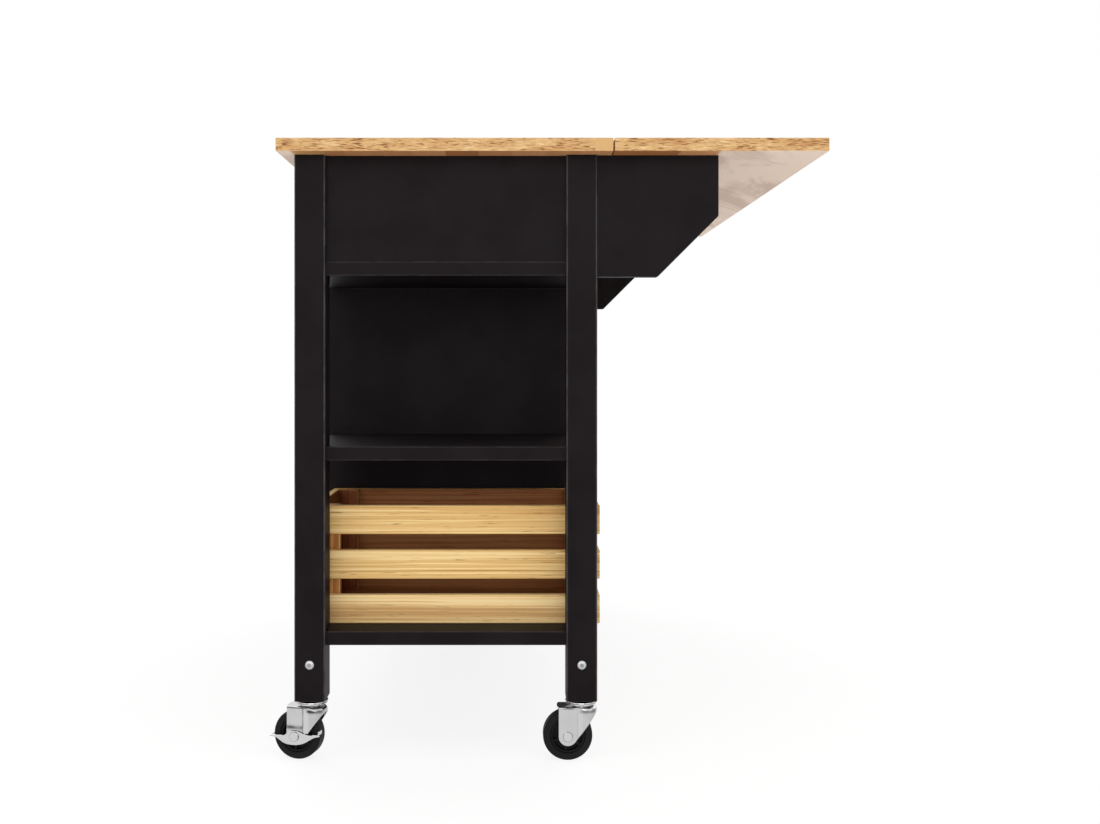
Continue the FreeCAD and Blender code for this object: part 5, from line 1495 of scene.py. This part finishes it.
class ISLAND_OT_wheels(PieceOperator, bpy.types.Operator):
    """Make the wheels' hubs and tyres"""

    bl_idname = "island.wheels"
    bl_label = "Wheels"

    def execute(self, context):
        sizes = settings("casters")
        for corner in CORNERS:
            _, yaw, hub, radius = caster_place(corner)
            half, inner, rim = sizes.tyre_half, radius - sizes.tyre_depth, sizes.hub_half
            tyre = rounded_path([(inner, -half + 0.0016), (inner + 0.0012, -half), (radius, -half),
                                 (radius, half), (inner + 0.0012, half), (inner, half - 0.0016)],
                                [0.0003, 0.0006, sizes.tyre_shoulder, sizes.tyre_shoulder, 0.0006,
                                 0.0003], 8)
            add_mesh(f"tyre_{corner}", on_axle(turned(tyre, 120, closed=True), yaw, hub), "tyre_rubber",
                     f"wheel_{corner}", [f"caster_tyre_{corner}"])
            boss_end, web, bore = half + sizes.hub_proud, sizes.hub_web / 2, sizes.axle * 1.03
            inside = inner - sizes.hub_wall
            section = [(bore, -boss_end), (sizes.hub_boss, -boss_end), (sizes.hub_boss, -web),
                       (inside, -web), (inside, -rim), (inner, -rim)]
            section += [(r, -z) for r, z in section[::-1]]
            parts = [turned(rounded_path(section, 0.0006, 4), 96, closed=True)]
            for turn in range(6):
                rib = plank((sizes.hub_boss - 0.0005, -sizes.hub_rib / 2, 0.0015 - rim),
                            (inside + 0.0005, sizes.hub_rib / 2, rim - 0.0015), "x", 0.0003)
                parts.append(swung(rib, math.radians(60 * turn) + sizes.rib_start))
            add_mesh(f"hub_{corner}", on_axle(merged(*parts), yaw, hub), "hub_plastic",
                     f"wheel_{corner}", [f"caster_hub_{corner}"])
        return {"FINISHED"}


# ---------------------------------------------------------------- remaining parts and the stage


class ISLAND_OT_dress(PieceOperator, bpy.types.Operator):
    """Give each part that is still shown as it came its material"""

    bl_idname = "island.dress"
    bl_label = "Finish the other parts"

    def execute(self, context):
        for row in frame["record"]["subparts"]:
            mesh = frame["nodes"][row["node"]].data
            mesh.materials.clear()
            mesh.materials.append(look(row["material_slot"]))
        return {"FINISHED"}


def seen_directly(t):
    """1 for rays from the camera, from reflections and through glass."""
    path = t.add("LightPath").outputs
    direct = t.math("MAXIMUM", path["Is Camera Ray"], path["Is Glossy Ray"])
    return t.math("MAXIMUM", direct, path["Is Transmission Ray"])


def make_floor(stage):
    """A wide flat floor that looks white where no shadow falls, and keeps the object's shadow."""
    t, inputs = new_material("studio_floor", Roughness=0.9, Specular_IOR_Level=0.0)
    t.feed(inputs["Base Color"], t.blend(seen_directly(t), colour("floor", "stage"),
                                         colour("floor_seen", "stage")))
    t.feed(inputs["Emission Color"], (1, 1, 1, 1))
    t.feed(inputs["Emission Strength"],
           t.spread(seen_directly(t), 0, 1, stage.floor_fill, stage.floor_glow))
    mesh = bpy.data.meshes.new("studio_floor")
    reach = 40.0
    mesh.from_pydata([(-reach, -reach, 0), (reach, -reach, 0), (reach, reach, 0), (-reach, reach, 0)],
                     [], [(0, 1, 2, 3)])
    mesh.materials.append(look("studio_floor"))
    floor = bpy.data.objects.new("studio_floor", mesh)
    bpy.context.scene.collection.objects.link(floor)


def make_world(stage):
    """Even light from all round, and white behind the object."""
    world = bpy.data.worlds.new("studio")
    bpy.context.scene.world = world
    world.use_nodes = True
    t = Tree(world.node_tree)
    even = (stage.sky, stage.sky, stage.sky, 1)
    t.feed(world.node_tree.nodes["Background"].inputs["Color"],
           t.blend(seen_directly(t), even, (1, 1, 1, 1)))


LAMPS = (  # name, azimuth and elevation in degrees, power, spread in degrees
    ("front", 0, 9, 0.30, 40), ("front_left", -45, 35, 0.12, 50), ("front_right", 50, 30, 0.12, 50),
    ("rear_left", -140, 35, 0.18, 50), ("rear_right", 140, 35, 0.18, 50), ("above", 0, 86, 0.12, 70))


def make_lamps(stage):
    """Soft suns from the front, both front corners, both rear corners and above."""
    for name, azimuth, elevation, power, spread in LAMPS:
        data = bpy.data.lights.new(name, "SUN")
        data.energy = power * stage.lamps * math.pi
        data.angle = math.radians(spread)
        lamp = bpy.data.objects.new(name, data)
        lamp.rotation_euler = (math.radians(90 - elevation), 0, math.radians(azimuth))
        bpy.context.scene.collection.objects.link(lamp)


def make_camera(stage):
    """The photo's view: level, along +y, a little to the right of the frame's front face."""
    near_low, _ = size_of("leg_near_front")
    data = bpy.data.cameras.new("eye")
    data.lens, data.sensor_width = stage.focal, 36
    data.shift_x, data.shift_y = stage.shift
    data.clip_start, data.clip_end = 0.05, 200
    eye = bpy.data.objects.new("eye", data)
    eye.location = (near_low[0] + stage.eye_side, near_low[1] - stage.eye_distance, stage.eye_height)
    eye.rotation_euler = (math.radians(90), 0, 0)
    bpy.context.scene.collection.objects.link(eye)
    bpy.context.scene.camera = eye


class ISLAND_OT_stage(PieceOperator, bpy.types.Operator):
    """Make the floor, the lamps, the world and the camera"""

    bl_idname = "island.stage"
    bl_label = "Stage"

    def execute(self, context):
        for make in (make_floor, make_world, make_lamps, make_camera):
            make(settings("stage"))
        context.scene.view_settings.view_transform = "Standard"
        return {"FINISHED"}


# ---------------------------------------------------------------- panel and registration

PIECE_OPERATORS = (
    ISLAND_OT_finishes, ISLAND_OT_dress, ISLAND_OT_worktop, ISLAND_OT_drop_leaf,
    ISLAND_OT_supports, ISLAND_OT_legs, ISLAND_OT_level_boards, ISLAND_OT_panels, ISLAND_OT_crate,
    ISLAND_OT_doors, ISLAND_OT_drawers, ISLAND_OT_runners, ISLAND_OT_hinges, ISLAND_OT_bolts,
    ISLAND_OT_mounts, ISLAND_OT_forks, ISLAND_OT_levers, ISLAND_OT_wheels, ISLAND_OT_stage,
)
SETTING_GROUPS = {"wood": IslandWood, "finish": IslandFinish, "edges": IslandEdges,
                  "hinges": IslandHinges, "crate": IslandCrate, "drawers": IslandDrawers,
                  "casters": IslandCasters, "stage": IslandStage}


class ISLAND_PT_panel(bpy.types.Panel):
    """The island's settings and the operators that make its pieces"""

    bl_idname = "ISLAND_PT_panel"
    bl_label = "Kitchen island"
    bl_space_type = "VIEW_3D"
    bl_region_type = "UI"
    bl_category = "Island"

    def draw(self, context):
        for name, group in SETTING_GROUPS.items():
            box = self.layout.box()
            box.label(text=name.capitalize())
            for key in group.__annotations__:
                box.prop(settings(name), key)
        for operator in PIECE_OPERATORS:
            self.layout.operator(operator.bl_idname)


def register():
    for group in SETTING_GROUPS.values():
        bpy.utils.register_class(group)
    for operator in PIECE_OPERATORS:
        bpy.utils.register_class(operator)
    bpy.utils.register_class(ISLAND_PT_panel)
    for name, group in SETTING_GROUPS.items():
        setattr(bpy.types.Scene, "island_" + name, bpy.props.PointerProperty(type=group))


def unregister():
    for name in SETTING_GROUPS:
        delattr(bpy.types.Scene, "island_" + name)
    bpy.utils.unregister_class(ISLAND_PT_panel)
    for operator in reversed(PIECE_OPERATORS):
        bpy.utils.unregister_class(operator)
    for group in reversed(SETTING_GROUPS.values()):
        bpy.utils.unregister_class(group)


def main():
    register()
    for operator in PIECE_OPERATORS:
        group, name = operator.bl_idname.split(".")
        getattr(getattr(bpy.ops, group), name)()


if __name__ == "__main__":
    main()
